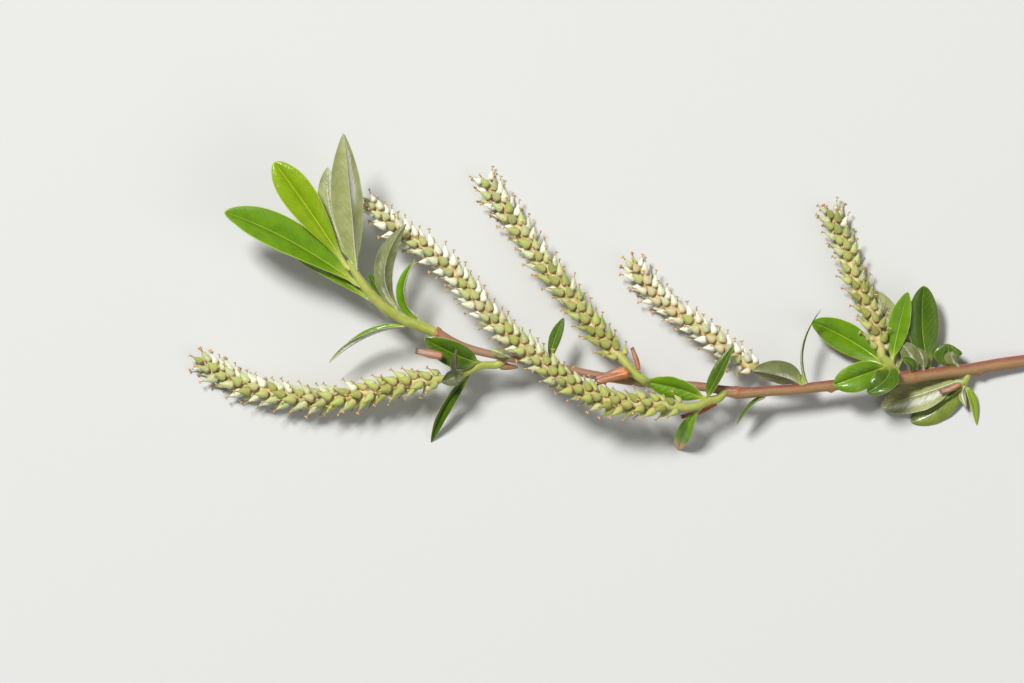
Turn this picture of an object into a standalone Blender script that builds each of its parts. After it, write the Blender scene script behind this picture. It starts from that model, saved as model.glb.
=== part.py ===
"""Willow branch in flower: a twig with six side shoots, five catkins, leaves and bud scales.

The branch lies on a surface (z = 0) on its cut end, the ends of its catkins and the tips of
three leaves. X runs along the twig towards the cut end, Y across it, Z up.
All points and sizes in the tables are in millimetres.
"""
import math

import bpy
import numpy as np
from mathutils import Vector

MM = 0.001
GAP = 0.3                  # clear space between neighbouring pieces
SIDES = {"stem": 8, "catkin": 10, "scale": 8}
STATION_STEP = {"stem": 2.2, "catkin": 3.0, "scale": 1.1}
DOME = 0.45                # how far a tube's end bulges, in radii
LEAF_STATIONS = 8
LEAF_TOP = 0.12            # midrib height over the blade's middle surface
LEAF_KEEL = 0.30           # midrib depth under it
TIP_ROUNDNESS = 0.6        # exponent of the leaf outline at its tip, smaller is blunter

# finish: colour (r, g, b), roughness
FINISHES = {
    "bark": ((0.23, 0.11, 0.07), 0.55),
    "green_stem": ((0.42, 0.48, 0.14), 0.5),
    "leaf_green": ((0.07, 0.22, 0.02), 0.35),
    "catkin_green": ((0.36, 0.42, 0.14), 0.6),
    "scale_brown": ((0.38, 0.15, 0.06), 0.5),
}

# stem: its points (x, y, z) with the radius at each, from its root to its end
STEMS = {
    "main_twig": ("bark", (
        ((75.2, -12.3, 1.31), 1.15), ((69.3, -13.1, 2.00), 1.12), ((63.9, -14.0, 2.70), 1.10),
        ((58.5, -14.6, 3.50), 1.08), ((52.6, -15.4, 4.45), 1.16), ((46.3, -16.1, 5.30), 1.04),
        ((40.1, -16.7, 5.95), 0.98), ((33.7, -17.4, 6.50), 0.95), ((27.9, -17.8, 6.95), 0.92),
        ((23.0, -18.1, 7.20), 1.00), ((19.0, -17.5, 7.30), 0.84), ((15.1, -16.9, 7.50), 0.80),
        ((5.2, -16.2, 8.00), 0.80), ((-2.3, -15.1, 8.20), 0.78), ((-9.0, -13.7, 8.40), 0.72),
        ((-16.7, -12.2, 8.70), 0.66), ((-23.9, -10.7, 8.95), 0.72), ((-28.2, -9.3, 9.15), 0.85),
        ((-31.7, -7.5, 9.30), 1.05))),
    "tip_shoot": ("green_stem", (
        ((-32.7, -6.9, 9.40), 0.98), ((-37.3, -5.0, 9.90), 0.98), ((-40.3, -3.3, 10.4), 0.95),
        ((-42.5, -1.4, 10.9), 0.90), ((-44.1, 0.4, 11.3), 0.85), ((-45.5, 2.3, 11.7), 0.75),
        ((-47.6, 5.6, 12.3), 0.50))),
    "spur_a": ("bark", (
        ((-17.3, -13.5, 7.30), 0.62), ((-18.8, -13.4, 7.60), 0.68), ((-20.2, -13.2, 7.90), 0.80))),
    "stalk_a": ("green_stem", (
        ((-21.0, -13.1, 8.15), 0.72), ((-23.6, -13.2, 8.40), 0.70), ((-25.6, -14.0, 8.45), 0.68),
        ((-27.2, -14.8, 8.40), 0.68), ((-29.6, -15.4, 8.25), 0.62))),
    "stalk_b": ("green_stem", (
        ((19.0, -19.2, 8.50), 0.78), ((17.6, -19.5, 8.85), 0.75), ((15.7, -20.3, 9.40), 0.72),
        ((13.7, -20.7, 9.90), 0.72))),
    "stalk_c": ("green_stem", (
        ((5.4, -15.7, 10.0), 0.85), ((3.8, -14.5, 9.80), 0.82), ((2.6, -13.0, 9.40), 0.75))),
    "stalk_d": ("green_stem", (
        ((33.6, -15.1, 6.60), 0.58), ((31.0, -14.8, 6.60), 0.58), ((27.0, -14.3, 6.45), 0.60))),
    "stalk_e": ("green_stem", (
        ((50.6, -13.7, 5.00), 0.70), ((49.8, -12.9, 5.25), 0.78), ((48.8, -11.9, 5.25), 0.75))),
    "stalk_f": ("green_stem", (
        ((63.6, -16.2, 2.60), 0.60), ((62.9, -16.4, 2.45), 0.62), ((62.2, -16.7, 2.30), 0.55))),
}

# catkin: its points from base to tip, and the radius at its base, middle and tip
CATKINS = {
    "catkin_a": (((-30.8, -15.7, 8.15), (-36.9, -16.4, 7.40), (-42.8, -17.8, 6.40),
                  (-48.6, -19.0, 5.40), (-54.5, -19.2, 4.50), (-60.3, -18.5, 3.60),
                  (-66.2, -17.0, 2.70), (-70.2, -14.9, 2.00), (-74.3, -12.4, 1.23)),
                 (1.4, 1.8, 1.1)),
    "catkin_b": (((12.7, -20.5, 10.3), (6.3, -20.2, 10.9), (-0.6, -19.7, 11.6),
                  (-7.8, -16.4, 12.3), (-11.4, -13.7, 12.5), (-15.9, -10.0, 12.3),
                  (-19.4, -7.0, 12.0), (-22.9, -3.5, 11.6), (-26.2, 0.6, 11.0),
                  (-29.9, 4.7, 10.4), (-34.6, 8.6, 9.60), (-38.3, 10.8, 8.90),
                  (-41.6, 13.9, 8.30), (-44.8, 16.7, 7.70)),
                 (1.4, 1.8, 1.1)),
    "catkin_c": (((1.8, -12.0, 9.15), (-0.7, -9.4, 8.50), (-3.6, -6.0, 7.70),
                  (-6.7, -2.0, 6.70), (-9.5, 1.6, 5.80), (-12.6, 5.4, 4.80),
                  (-15.5, 9.7, 3.70), (-18.7, 14.1, 2.60), (-21.4, 17.5, 1.80),
                  (-23.0, 20.4, 1.22)),
                 (1.4, 1.8, 1.1)),
    "catkin_d": (((26.1, -14.0, 6.40), (22.5, -11.9, 6.20), (19.1, -9.2, 5.70),
                  (15.6, -6.4, 5.00), (12.1, -4.0, 4.20), (8.6, -1.3, 3.30),
                  (5.6, 2.0, 2.40), (3.9, 5.0, 1.70), (3.2, 7.5, 1.14)),
                 (1.2, 1.6, 1.0)),
    "catkin_e": (((48.3, -11.0, 5.20), (47.7, -7.0, 4.90), (46.6, -4.0, 4.50),
                  (45.5, -1.2, 4.10), (44.1, 1.6, 3.60), (43.2, 4.7, 3.10),
                  (42.1, 8.1, 2.50), (40.7, 11.5, 1.90), (39.4, 14.9, 1.40),
                  (38.4, 16.8, 1.12)),
                 (1.2, 1.5, 1.0)),
}

# bud scale: its points from the open end to the point, and the radius at each
SCALES = {
    "bud_scale_1": (((-30.8, -11.5, 13.1), 0.65), ((-33.0, -11.0, 12.8), 0.72),
                    ((-35.1, -10.6, 12.6), 0.45)),
    "bud_scale_2": (((2.5, -14.3, 12.0), 0.92), ((0.0, -15.0, 11.5), 0.88),
                    ((-3.0, -15.9, 10.7), 0.50)),
    "bud_scale_3": (((4.6, -13.9, 11.3), 0.34), ((4.2, -12.2, 11.3), 0.40),
                    ((3.5, -10.2, 11.2), 0.28)),
    "bud_scale_4": (((18.6, -20.0, 7.00), 0.42), ((15.8, -21.4, 7.10), 0.50),
                    ((12.6, -22.4, 6.70), 0.32)),
    "bud_scale_5": (((62.6, -16.6, 3.90), 0.42), ((61.0, -17.4, 3.80), 0.50),
                    ((59.3, -17.9, 3.60), 0.32)),
}

# leaf: the stem that it grows on, how far along that stem, the middle and the tip of its
# midrib, the width of the blade laid flat, the widest place as a share of its length,
# roll (0 shows the upper side, 180 the underside) and fold of each half, in degrees
LEAVES = {
    "leaf_tip_1": ("tip_shoot", 0.80, (-58.0, 9.2, 12.4), (-69.8, 14.4, 13.2), 7.4, 0.62, 27, 27),
    "leaf_tip_2": ("tip_shoot", 0.97, (-54.6, 14.8, 13.6), (-60.8, 23.3, 14.8), 6.4, 0.68, 0, 20),
    "leaf_tip_3": ("tip_shoot", 0.99, (-50.6, 14.0, 11.9), (-51.2, 22.4, 12.0), 4.2, 0.60, 180, 18),
    "leaf_tip_4": ("tip_shoot", 0.94, (-47.1, 16.0, 15.2), (-48.3, 28.4, 16.2), 7.0, 0.56, 208, 28),
    "leaf_tip_5": ("tip_shoot", 0.62, (-50.9, 3.3, 10.2), (-56.6, 5.8, 10.4), 3.0, 0.55, 40, 20),
    "leaf_tip_6": ("tip_shoot", 0.38, (-41.0, 4.4, 12.9), (-37.1, 12.3, 13.4), 3.8, 0.52, 200, 25),
    "leaf_tip_7": ("tip_shoot", 0.15, (-37.4, -0.2, 11.4), (-35.6, 5.8, 12.0), 3.2, 0.50, -48, 52),
    "leaf_tip_8": ("tip_shoot", 0.24, (-44.6, -8.1, 9.0), (-51.2, -12.8, 7.4), 2.4, 0.50, 52, 52),
    "leaf_tip_9": ("tip_shoot", 0.50, (-42.7, 1.3, 9.9), (-43.9, 3.5, 9.9), 1.7, 0.50, 0, 15),
    "leaf_a_1": ("stalk_a", 0.36, (-28.6, -11.1, 10.2), (-33.9, -8.3, 11.0), 5.0, 0.52, -6, 24),
    "leaf_a_2": ("stalk_a", 0.84, (-28.6, -15.4, 9.75), (-30.8, -16.2, 9.95), 3.2, 0.55, 0, 18),
    "leaf_a_3": ("stalk_a", 0.72, (-28.3, -13.4, 12.6), (-28.1, -10.3, 14.1), 1.8, 0.45, 215, 30),
    "leaf_a_4": ("stalk_a", 0.60, (-30.2, -20.6, 4.2), (-32.8, -27.1, 0.17), 2.7, 0.50, -20, 46),
    "leaf_b_1": ("stalk_b", 0.42, (11.6, -17.3, 9.4), (6.2, -16.1, 9.2), 4.6, 0.58, -30, 12),
    "leaf_b_2": ("stalk_b", 0.30, (18.9, -15.0, 9.9), (21.8, -9.4, 10.1), 3.0, 0.52, -28, 35),
    "leaf_b_3": ("stalk_b", 0.66, (13.3, -24.4, 6.3), (11.9, -28.4, 0.17), 3.0, 0.66, 4, 24),
    "leaf_m_1": ("main_twig", 0.805, (-10.5, -8.6, 8.8), (-8.8, -4.6, 9.0), 2.3, 0.60, 0, 20),
    "leaf_m_2": ("main_twig", 0.875, (-20.2, -10.9, 10.9), (-22.0, -10.3, 11.2), 1.8, 0.50, 180, 15),
    "leaf_d_1": ("main_twig", 0.387, (30.3, -15.0, 8.2), (25.3, -14.1, 8.6), 5.4, 0.50, 150, 30),
    "leaf_d_2": ("main_twig", 0.376, (34.2, -9.4, 7.6), (37.5, -3.1, 7.8), 2.4, 0.45, 82, 12),
    "leaf_d_3": ("main_twig", 0.450, (24.8, -20.5, 6.2), (22.4, -23.8, 5.4), 2.0, 0.50, 70, 15),
    "leaf_e_1": ("stalk_e", 0.50, (42.8, -8.6, 2.5), (35.9, -5.4, 4.4), 5.6, 0.56, 5, 18),
    "leaf_e_2": ("stalk_e", 0.55, (44.6, -15.0, 8.0), (39.8, -16.7, 8.0), 5.4, 0.58, -8, 18),
    "leaf_e_3": ("stalk_e", 0.30, (49.0, -15.8, 9.2), (45.7, -18.1, 9.6), 4.6, 0.52, 12, 18),
    "leaf_e_4": ("stalk_e", 0.50, (51.5, -6.8, 5.2), (53.2, 0.1, 6.4), 4.2, 0.60, -12, 25),
    "leaf_e_5": ("main_twig", 0.222, (50.3, -6.6, 2.4), (47.0, 0.3, 2.0), 5.2, 0.58, 180, 16),
    "leaf_e_6": ("main_twig", 0.168, (55.9, -6.4, 3.8), (56.1, 1.2, 5.8), 6.2, 0.58, 14, 20),
    "leaf_e_7": ("main_twig", 0.190, (53.7, -11.2, 5.6), (51.9, -9.2, 5.4), 3.4, 0.52, 180, 18),
    "leaf_e_8": ("main_twig", 0.178, (55.9, -11.9, 5.9), (55.0, -10.1, 6.4), 2.0, 0.50, 170, 20),
    "leaf_e_9": ("main_twig", 0.200, (53.7, -12.9, 6.4), (51.9, -11.8, 6.8), 2.0, 0.50, 30, 20),
    "leaf_e_10": ("main_twig", 0.130, (60.6, -11.4, 3.6), (60.7, -9.3, 3.9), 5.2, 0.60, 0, 14),
    "leaf_e_11": ("main_twig", 0.122, (61.3, -12.0, 4.6), (61.3, -10.7, 4.9), 3.0, 0.60, 170, 14),
    "leaf_f_1": ("stalk_f", 0.85, (56.2, -18.2, 2.6), (48.5, -20.6, 2.1), 6.0, 0.60, 190, 20),
    "leaf_f_2": ("stalk_f", 0.75, (59.2, -19.0, 1.65), (56.0, -20.6, 1.5), 1.8, 0.50, 20, 15),
    "leaf_f_3": ("stalk_f", 0.45, (59.2, -20.5, 0.80), (54.0, -23.4, 0.40), 5.0, 0.55, 0, 4),
    "leaf_f_4": ("stalk_f", 0.30, (63.2, -18.6, 2.3), (63.9, -20.7, 2.3), 1.4, 0.50, 180, 15),
    "leaf_f_5": ("stalk_f", 0.10, (65.1, -19.6, 1.4), (65.8, -23.8, 0.6), 1.8, 0.50, -30, 20),
}


def unit(vectors):
    """Vectors along the last axis, each divided by its own length."""
    return vectors / np.linalg.norm(vectors, axis=-1, keepdims=True)


def smooth_path(points, fractions):
    """Points at the given shares of the length of a Catmull-Rom curve through `points`."""
    points = np.asarray(points, dtype=float)
    padded = np.vstack((2 * points[0] - points[1], points, 2 * points[-1] - points[-2]))
    steps = np.linspace(0, 1, 24, endpoint=False)[:, None]
    pieces = []
    for i in range(len(points) - 1):
        before, start, end, after = padded[i:i + 4]
        pieces.append(0.5 * (2 * start + (end - before) * steps
                             + (2 * before - 5 * start + 4 * end - after) * steps ** 2
                             + (3 * start - before - 3 * end + after) * steps ** 3))
    curve = np.vstack(pieces + [points[-1:]])
    length = np.concatenate(([0.0], np.cumsum(np.linalg.norm(np.diff(curve[:, :3], axis=0), axis=1))))
    where = np.asarray(fractions) * length[-1]
    return np.stack([np.interp(where, length, column) for column in curve.T], axis=-1)


def path_length(points):
    """Length of the smooth curve through the points."""
    fine = smooth_path(points, np.linspace(0, 1, 200))[:, :3]
    return float(np.linalg.norm(np.diff(fine, axis=0), axis=1).sum())


def section_frames(path):
    """Two unit vectors across a path at each point, carried along it without twisting."""
    tangents = unit(np.gradient(path, axis=0))
    sides = []
    side = np.cross(tangents[0], (0.0, 0.0, 1.0))
    for tangent in tangents:
        side = unit(side - tangent * np.dot(side, tangent))
        sides.append(side)
    sides = np.array(sides)
    return tangents, sides, np.cross(sides, tangents)


def closed_sweep(sections, first, last):
    """Vertices and faces of rings joined one to the next and closed to a point at both ends."""
    count, around, _ = sections.shape
    vertices = [tuple(point) for point in sections.reshape(-1, 3)] + [tuple(first), tuple(last)]
    start_pole, end_pole = count * around, count * around + 1
    faces = []
    for ring in range(count - 1):
        for i in range(around):
            j = (i + 1) % around
            faces.append((ring * around + i, ring * around + j,
                          (ring + 1) * around + j, (ring + 1) * around + i))
    for i in range(around):
        j = (i + 1) % around
        faces.append((start_pole, j, i))
        faces.append((end_pole, (count - 1) * around + i, (count - 1) * around + j))
    return vertices, faces


def add_solid(name, finish, vertices, faces, parent):
    """One named object in metres from millimetre vertices, smooth shaded, under the parent."""
    mesh = bpy.data.meshes.new(name)
    mesh.from_pydata([Vector(point) * MM for point in vertices], [], faces)
    mesh.materials.append(bpy.data.materials[finish])
    mesh.shade_smooth()
    mesh.set_sharp_from_angle(angle=math.radians(60))
    solid = bpy.data.objects.new(name, mesh)
    bpy.context.collection.objects.link(solid)
    solid.parent = parent
    return solid


def make_tube(name, finish, points_radii, kind, parent):
    """A round tube along a smooth path, its radius following the table, with domed ends."""
    table = np.array([(*point, radius) for point, radius in points_radii])
    rings = max(3, round(path_length(table) / STATION_STEP[kind]) + 1)
    samples = smooth_path(table, np.linspace(0, 1, rings))
    path, radii = samples[:, :3], samples[:, 3]
    tangents, sides, ups = section_frames(path)
    angles = np.linspace(0, 2 * math.pi, SIDES[kind], endpoint=False)
    across, upward = np.cos(angles)[None, :, None], np.sin(angles)[None, :, None]
    ring = across * sides[:, None] - upward * ups[:, None]
    sections = path[:, None] + radii[:, None, None] * ring
    vertices, faces = closed_sweep(sections, path[0] - tangents[0] * radii[0] * DOME,
                                   path[-1] + tangents[-1] * radii[-1] * DOME)
    return add_solid(name, finish, vertices, faces, parent)


def make_catkin(name, points, radii, parent):
    """A tapering round spike: base, middle and tip radius spread evenly along its points."""
    places = np.linspace(0, 1, len(points))
    spread = np.interp(places, (0.0, 0.12, 0.75, 1.0), (radii[0], radii[1], radii[1], radii[2]))
    return make_tube(name, "catkin_green", list(zip(points, spread)), "catkin", parent)


def leaf_root(stem, along, middle):
    """Where a leaf starts: a gap away from the stem's surface, on the side facing the leaf."""
    table = np.array([(*point, radius) for point, radius in STEMS[stem][1]])
    ahead, here, behind = smooth_path(table, (max(along - 0.01, 0), along, min(along + 0.01, 1)))
    tangent = unit(behind[:3] - ahead[:3])
    outward = np.asarray(middle) - here[:3]
    outward = unit(outward - tangent * np.dot(outward, tangent))
    return here[:3] + outward * (here[3] + GAP)


def leaf_outline(places, widest):
    """Half width over its maximum: place**p times (1 - place)**q, at its peak at `widest`."""
    rise = widest * TIP_ROUNDNESS / (1 - widest)
    shape = places ** rise * (1 - places) ** TIP_ROUNDNESS
    return shape / (widest ** rise * (1 - widest) ** TIP_ROUNDNESS)


def make_leaf(name, spec, parent):
    """A thin closed blade: left edge, midrib above, right edge and midrib below at each station.

    The midrib is a parabola through root, middle and tip. The blade's two halves rise from it
    by the fold angle, and the whole section is rolled about the midrib.
    """
    stem, along, middle, tip, width, widest, roll, fold = spec
    root, middle, tip = leaf_root(stem, along, middle), np.array(middle), np.array(tip)
    control = 2 * middle - (root + tip) / 2
    places = np.linspace(0, 1, LEAF_STATIONS + 1)
    t = places[:, None]
    path = root * (1 - t) ** 2 + 2 * control * t * (1 - t) + tip * t ** 2
    tangents = unit(np.gradient(path, axis=0))
    rights = unit(np.cross(tangents, (0.0, 0.0, 1.0)))
    normals = np.cross(rights, tangents)
    angle = math.radians(roll)
    turned_normals = normals * math.cos(angle) + rights * math.sin(angle)
    turned_rights = rights * math.cos(angle) - normals * math.sin(angle)
    outline = leaf_outline(places, widest)[:, None]
    reach = outline * width / 2
    rise = turned_normals * math.sin(math.radians(fold))
    spread = turned_rights * math.cos(math.radians(fold))
    body = 0.35 + 0.65 * outline
    sections = np.stack((path + reach * (rise - spread), path + turned_normals * LEAF_TOP * body,
                         path + reach * (rise + spread), path - turned_normals * LEAF_KEEL * body),
                        axis=1)[1:-1]
    vertices, faces = closed_sweep(sections, path[0], path[-1])
    return add_solid(name, "leaf_green", vertices, faces, parent)


def add_finishes():
    """A Principled material for each finish."""
    for name, (colour, roughness) in FINISHES.items():
        material = bpy.data.materials.new(name)
        material.use_nodes = True
        shader = material.node_tree.nodes["Principled BSDF"]
        shader.inputs["Base Color"].default_value = (*colour, 1.0)
        shader.inputs["Roughness"].default_value = roughness
        shader.inputs["Metallic"].default_value = 0.0


def centre_on_origin(parent, solids):
    """Moves the parent so that the middle of the branch's lowest plane is the origin."""
    corners = np.array([vertex.co for solid in solids for vertex in solid.data.vertices])
    low, high = corners.min(axis=0), corners.max(axis=0)
    parent.location = (-(low[0] + high[0]) / 2, -(low[1] + high[1]) / 2, -low[2])


def build():
    """The whole branch."""
    for old in list(bpy.data.objects):
        bpy.data.objects.remove(old, do_unlink=True)
    add_finishes()
    parent = bpy.data.objects.new("branch", None)
    bpy.context.collection.objects.link(parent)
    solids = [make_tube(name, finish, points, "stem", parent)
              for name, (finish, points) in STEMS.items()]
    solids += [make_catkin(name, points, radii, parent) for name, (points, radii) in CATKINS.items()]
    solids += [make_tube(name, "scale_brown", points, "scale", parent)
               for name, points in SCALES.items()]
    solids += [make_leaf(name, spec, parent) for name, spec in LEAVES.items()]
    centre_on_origin(parent, solids)


build()
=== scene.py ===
import math

import bpy
import numpy as np
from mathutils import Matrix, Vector


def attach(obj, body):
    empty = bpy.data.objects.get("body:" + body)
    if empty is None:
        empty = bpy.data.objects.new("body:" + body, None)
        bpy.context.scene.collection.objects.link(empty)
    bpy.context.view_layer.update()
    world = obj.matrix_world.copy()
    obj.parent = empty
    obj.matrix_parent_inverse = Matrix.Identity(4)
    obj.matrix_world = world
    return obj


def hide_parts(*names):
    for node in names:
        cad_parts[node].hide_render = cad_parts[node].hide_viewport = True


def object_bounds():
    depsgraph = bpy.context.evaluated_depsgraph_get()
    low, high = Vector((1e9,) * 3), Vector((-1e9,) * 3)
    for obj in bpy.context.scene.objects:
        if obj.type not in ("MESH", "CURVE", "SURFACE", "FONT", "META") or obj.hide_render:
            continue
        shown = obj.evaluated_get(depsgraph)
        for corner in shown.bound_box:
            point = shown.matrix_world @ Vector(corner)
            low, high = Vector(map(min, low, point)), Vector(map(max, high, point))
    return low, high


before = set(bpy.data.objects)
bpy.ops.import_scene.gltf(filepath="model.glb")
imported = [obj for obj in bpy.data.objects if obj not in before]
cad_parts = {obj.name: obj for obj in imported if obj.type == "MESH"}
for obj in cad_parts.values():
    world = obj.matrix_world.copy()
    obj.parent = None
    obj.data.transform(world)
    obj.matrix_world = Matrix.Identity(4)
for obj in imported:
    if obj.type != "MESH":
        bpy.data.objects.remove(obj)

cad_box = [list(corner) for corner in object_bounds()]
MM = 0.001
TAU = 2 * math.pi
UP = np.array((0.0, 0.0, 1.0))

# ---------------------------------------------------------------- view and light, in metres

VIEW_WIDTH = 0.1843          # of the branch, from the picture's left edge to its right
VIEW_SHAPE = 683 / 1024
CUT_END_OUTSIDE = 0.0017     # how far the cut end lies past the picture's right edge
ROOM_ABOVE = 0.0242          # from the highest leaf tip to the picture's top edge
SHARP_HEIGHT = 0.008         # the height above the floor that the framing is measured at
CAMERA_DISTANCE = 1.6
NEAREST, FARTHEST = 0.05, 10.0   # what the camera sees between
SENSOR = 0.036               # width of the camera's sensor
SURROUNDINGS = 0.20          # strength of the pale light from all round
FLOOR_HALF = 1.5
# each soft light's name, place, width and power in watts; all face the origin
LIGHTS = (("key", (-0.90, 1.20, 2.34), 0.60, 90.0), ("fill", (1.65, -0.90, 1.80), 1.8, 13.0))

# ---------------------------------------------------------------- shapes, in millimetres

CAD_TOP, CAD_KEEL = 0.12, 0.30   # midrib above and below the blade's middle surface in the CAD
TIP_ROUNDNESS = 0.6              # the CAD outline's exponent at the tip
LOWEST = 0.01                    # no skin reaches lower than this above the floor
LOWEST_SMALL = 0.02              # nor does any small part of a catkin
STEM_STEP, SCALE_STEP, CATKIN_STEP = 0.25, 0.11, 0.30   # between sections along a tube
STEM_COLUMNS, TWIG_COLUMNS, SCALE_COLUMNS, RACHIS_COLUMNS = 28, 36, 32, 16   # round a tube
ROOT_BACK = 0.9                  # how far back inside its parent a side stem starts
ROOT_BEND = 0.7                  # length of a side stem that its bent root takes up
STALK_OVERRUN = 0.4              # how far a stalk runs on into its catkin or leaves

# leaves by group, each numbered from 1: finish above, finish beneath, how strongly the halves
# are puffed, how wavy the edge is, how far the tip is drawn to a point, and the half, -1 or 1,
# that a band of painted silvery sheen lies along, or 0 for a band along the midrib
LEAF_GROUPS = {
    "tip": (("green", "pale", 0.10, 0.4, 0.5, 0), ("fresh", "pale", 0.30, 0.4, 0.3, 0),
            ("fresh", "bright", 0.12, 0.5, 0.6, -1), ("green", "pale", 0.14, 0.5, 1.0, -1),
            ("green", "pale", 0.10, 0.5, 0.8, 0), ("dark", "olive", 0.14, 0.8, 1.0, 1),
            ("green", "bright", 0.12, 0.8, 1.0, 0), ("green", "bright", 0.12, 0.8, 0.9, 0),
            ("dark", "olive", 0.10, 0.5, 0.5, 0)),
    "a": (("dark", "pale", 0.16, 0.8, 0.4, 0), ("dark", "dull", 0.18, 0.8, 0.3, 0),
          ("dark", "dull", 0.12, 0.8, 0.7, 0), ("dark", "pale", 0.14, 0.8, 0.8, 0)),
    "b": (("green", "pale", 0.20, 1.0, 0.4, 0), ("dark", "pale", 0.14, 0.8, 0.7, 0),
          ("tipped", "pale", 0.16, 0.6, 0.5, 0)),
    "m": (("dark", "pale", 0.12, 0.5, 0.5, 0), ("fresh", "pale", 0.10, 0.5, 0.3, 0)),
    "d": (("dark", "olive", 0.14, 0.5, 0.2, 0), ("dark", "pale", 0.10, 0.5, 0.8, 0),
          ("dark", "olive", 0.10, 0.5, 0.7, 0)),
    "e": (("green", "pale", 0.16, 0.8, 0.1, 0), ("green", "pale", 0.18, 0.8, 0.1, 0),
          ("dark", "pale", 0.14, 0.8, 0.3, 0), ("green", "pale", 0.12, 0.8, 0.4, 0),
          ("dark", "bright", 0.12, 0.5, 0.3, 1), ("dark", "pale", 0.12, 0.5, 0.1, 0),
          ("dark", "olive", 0.12, 0.5, 0.3, 0), ("dark", "olive", 0.12, 0.5, 0.5, 0),
          ("dark", "olive", 0.12, 0.5, 0.6, 0), ("dark", "pale", 0.14, 0.5, 0.3, 0),
          ("dark", "olive", 0.12, 0.5, 0.4, 0)),
    "f": (("green", "pale", 0.14, 0.8, 0.2, 1), ("green", "pale", 0.10, 0.5, 0.5, 0),
          ("olive", "olive", 0.14, 0.5, 0.2, 0), ("green", "pale", 0.10, 0.5, 0.6, 0),
          ("fresh", "pale", 0.10, 0.5, 0.6, 0)),
}
LEAF_LOOKS = {f"leaf_{group}_{number}": looks for group, leaves in LEAF_GROUPS.items()
              for number, looks in enumerate(leaves, 1)}
# the stems that the leaves of each group can grow on
LEAF_STEMS = {"tip": ("tip_shoot",), "a": ("stalk_a",), "b": ("stalk_b",), "m": ("main_twig",),
              "d": ("main_twig",), "e": ("main_twig", "stalk_e"), "f": ("stalk_f",)}

# catkin: silk on its pods at its base and at its tip, how light its green is, pod size, and how
# far its last pods stop short of the CAD solid's end
CATKIN_LOOKS = {"catkin_a": (0.32, 0.60, 0.65, 1.05, 0.0), "catkin_b": (0.14, 0.95, 0.70, 1.0, 0.7),
                "catkin_c": (0.18, 0.75, 0.50, 1.0, 0.0), "catkin_d": (0.95, 0.80, 0.95, 0.95, 2.3),
                "catkin_e": (0.22, 0.50, 0.45, 0.92, 2.0)}

# bud scale: its finish, and its girth over its CAD solid's
SCALE_LOOKS = {"bud_scale_1": ("scale_pink", 1.05), "bud_scale_2": ("scale_orange", 1.22),
               "bud_scale_3": ("scale_orange", 1.15), "bud_scale_4": ("scale_orange", 1.05),
               "bud_scale_5": ("scale_pink", 1.05)}

# degrees that a leaf turns about its midrib by its tip
LEAF_TWISTS = {"leaf_tip_8": 70, "leaf_tip_6": -25, "leaf_tip_1": -8}

POD_SPACING = 0.42           # along the catkin, from one pod to the next round the spiral
GOLDEN_TURN = math.radians(137.5)
POD_LENGTH, POD_RADIUS = 2.55, 0.80
POD_CURVE = 0.04             # how far a pod bends towards the catkin's tip, over its length
STYLE_LENGTH, STYLE_RADIUS = 0.62, 0.115
LOBE_LENGTH = 0.38
HAIR_RADIUS = 0.018
RACHIS_RADIUS = 0.88
HAIRS_PER_POD = 6


# ================================================================ curves and surfaces

def unit(vectors):
    """Vectors along the last axis, each divided by its own length."""
    return vectors / np.maximum(np.linalg.norm(vectors, axis=-1, keepdims=True), 1e-12)


def through(values, places):
    """The Catmull-Rom curve through the rows of `values`, read at `places` from 0 to 1."""
    values = np.asarray(values, dtype=float)
    last = len(values) - 1
    padded = np.concatenate((2 * values[:1] - values[1:2], values, 2 * values[-1:] - values[-2:-1]))
    spots = np.clip(np.asarray(places, dtype=float) * last, 0, last - 1e-9)
    index = spots.astype(int)
    u = (spots - index).reshape((-1,) + (1,) * (values.ndim - 1))
    a, b, c, d = padded[index], padded[index + 1], padded[index + 2], padded[index + 3]
    return 0.5 * (2 * b + (c - a) * u + (2 * a - 5 * b + 4 * c - d) * u ** 2
                  + (3 * b - a - 3 * c + d) * u ** 3)


def lengths_along(path):
    """Distance from the first point to each point of a path."""
    return np.concatenate(([0.0], np.cumsum(np.linalg.norm(np.diff(path, axis=0), axis=1))))


def section_frames(path):
    """Unit tangents and two unit vectors across a path, carried along it without twisting."""
    tangents = unit(np.gradient(path, axis=0))
    start = np.cross(tangents[0], UP)
    side = start if np.linalg.norm(start) > 0.1 else np.array((1.0, 0.0, 0.0))
    sides = []
    for tangent in tangents:
        side = unit(side - tangent * np.dot(side, tangent))
        sides.append(side)
    sides = np.array(sides)
    return tangents, sides, np.cross(sides, tangents)


def waves(places, seed, count=3):
    """A smooth curve between about -1 and 1: sines of rising frequency with seeded phases."""
    phases = np.random.default_rng(seed).uniform(0, TAU, count)
    total = sum(np.sin(TAU * (k + 1) * np.asarray(places) + phases[k]) / (k + 1) for k in range(count))
    return total / 1.5


def hills(steps, seed, size):
    """Smooth random heights between about -1 and 1 on a grid, made of `size` coarse steps."""
    rows, columns = steps
    coarse = np.random.default_rng(seed).uniform(-1, 1, size)
    coarse[:, -1] = coarse[:, 0]
    down = through(coarse, np.linspace(0, 1, rows))
    return through(down.T, np.linspace(0, 1, columns, endpoint=False)).T


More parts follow.
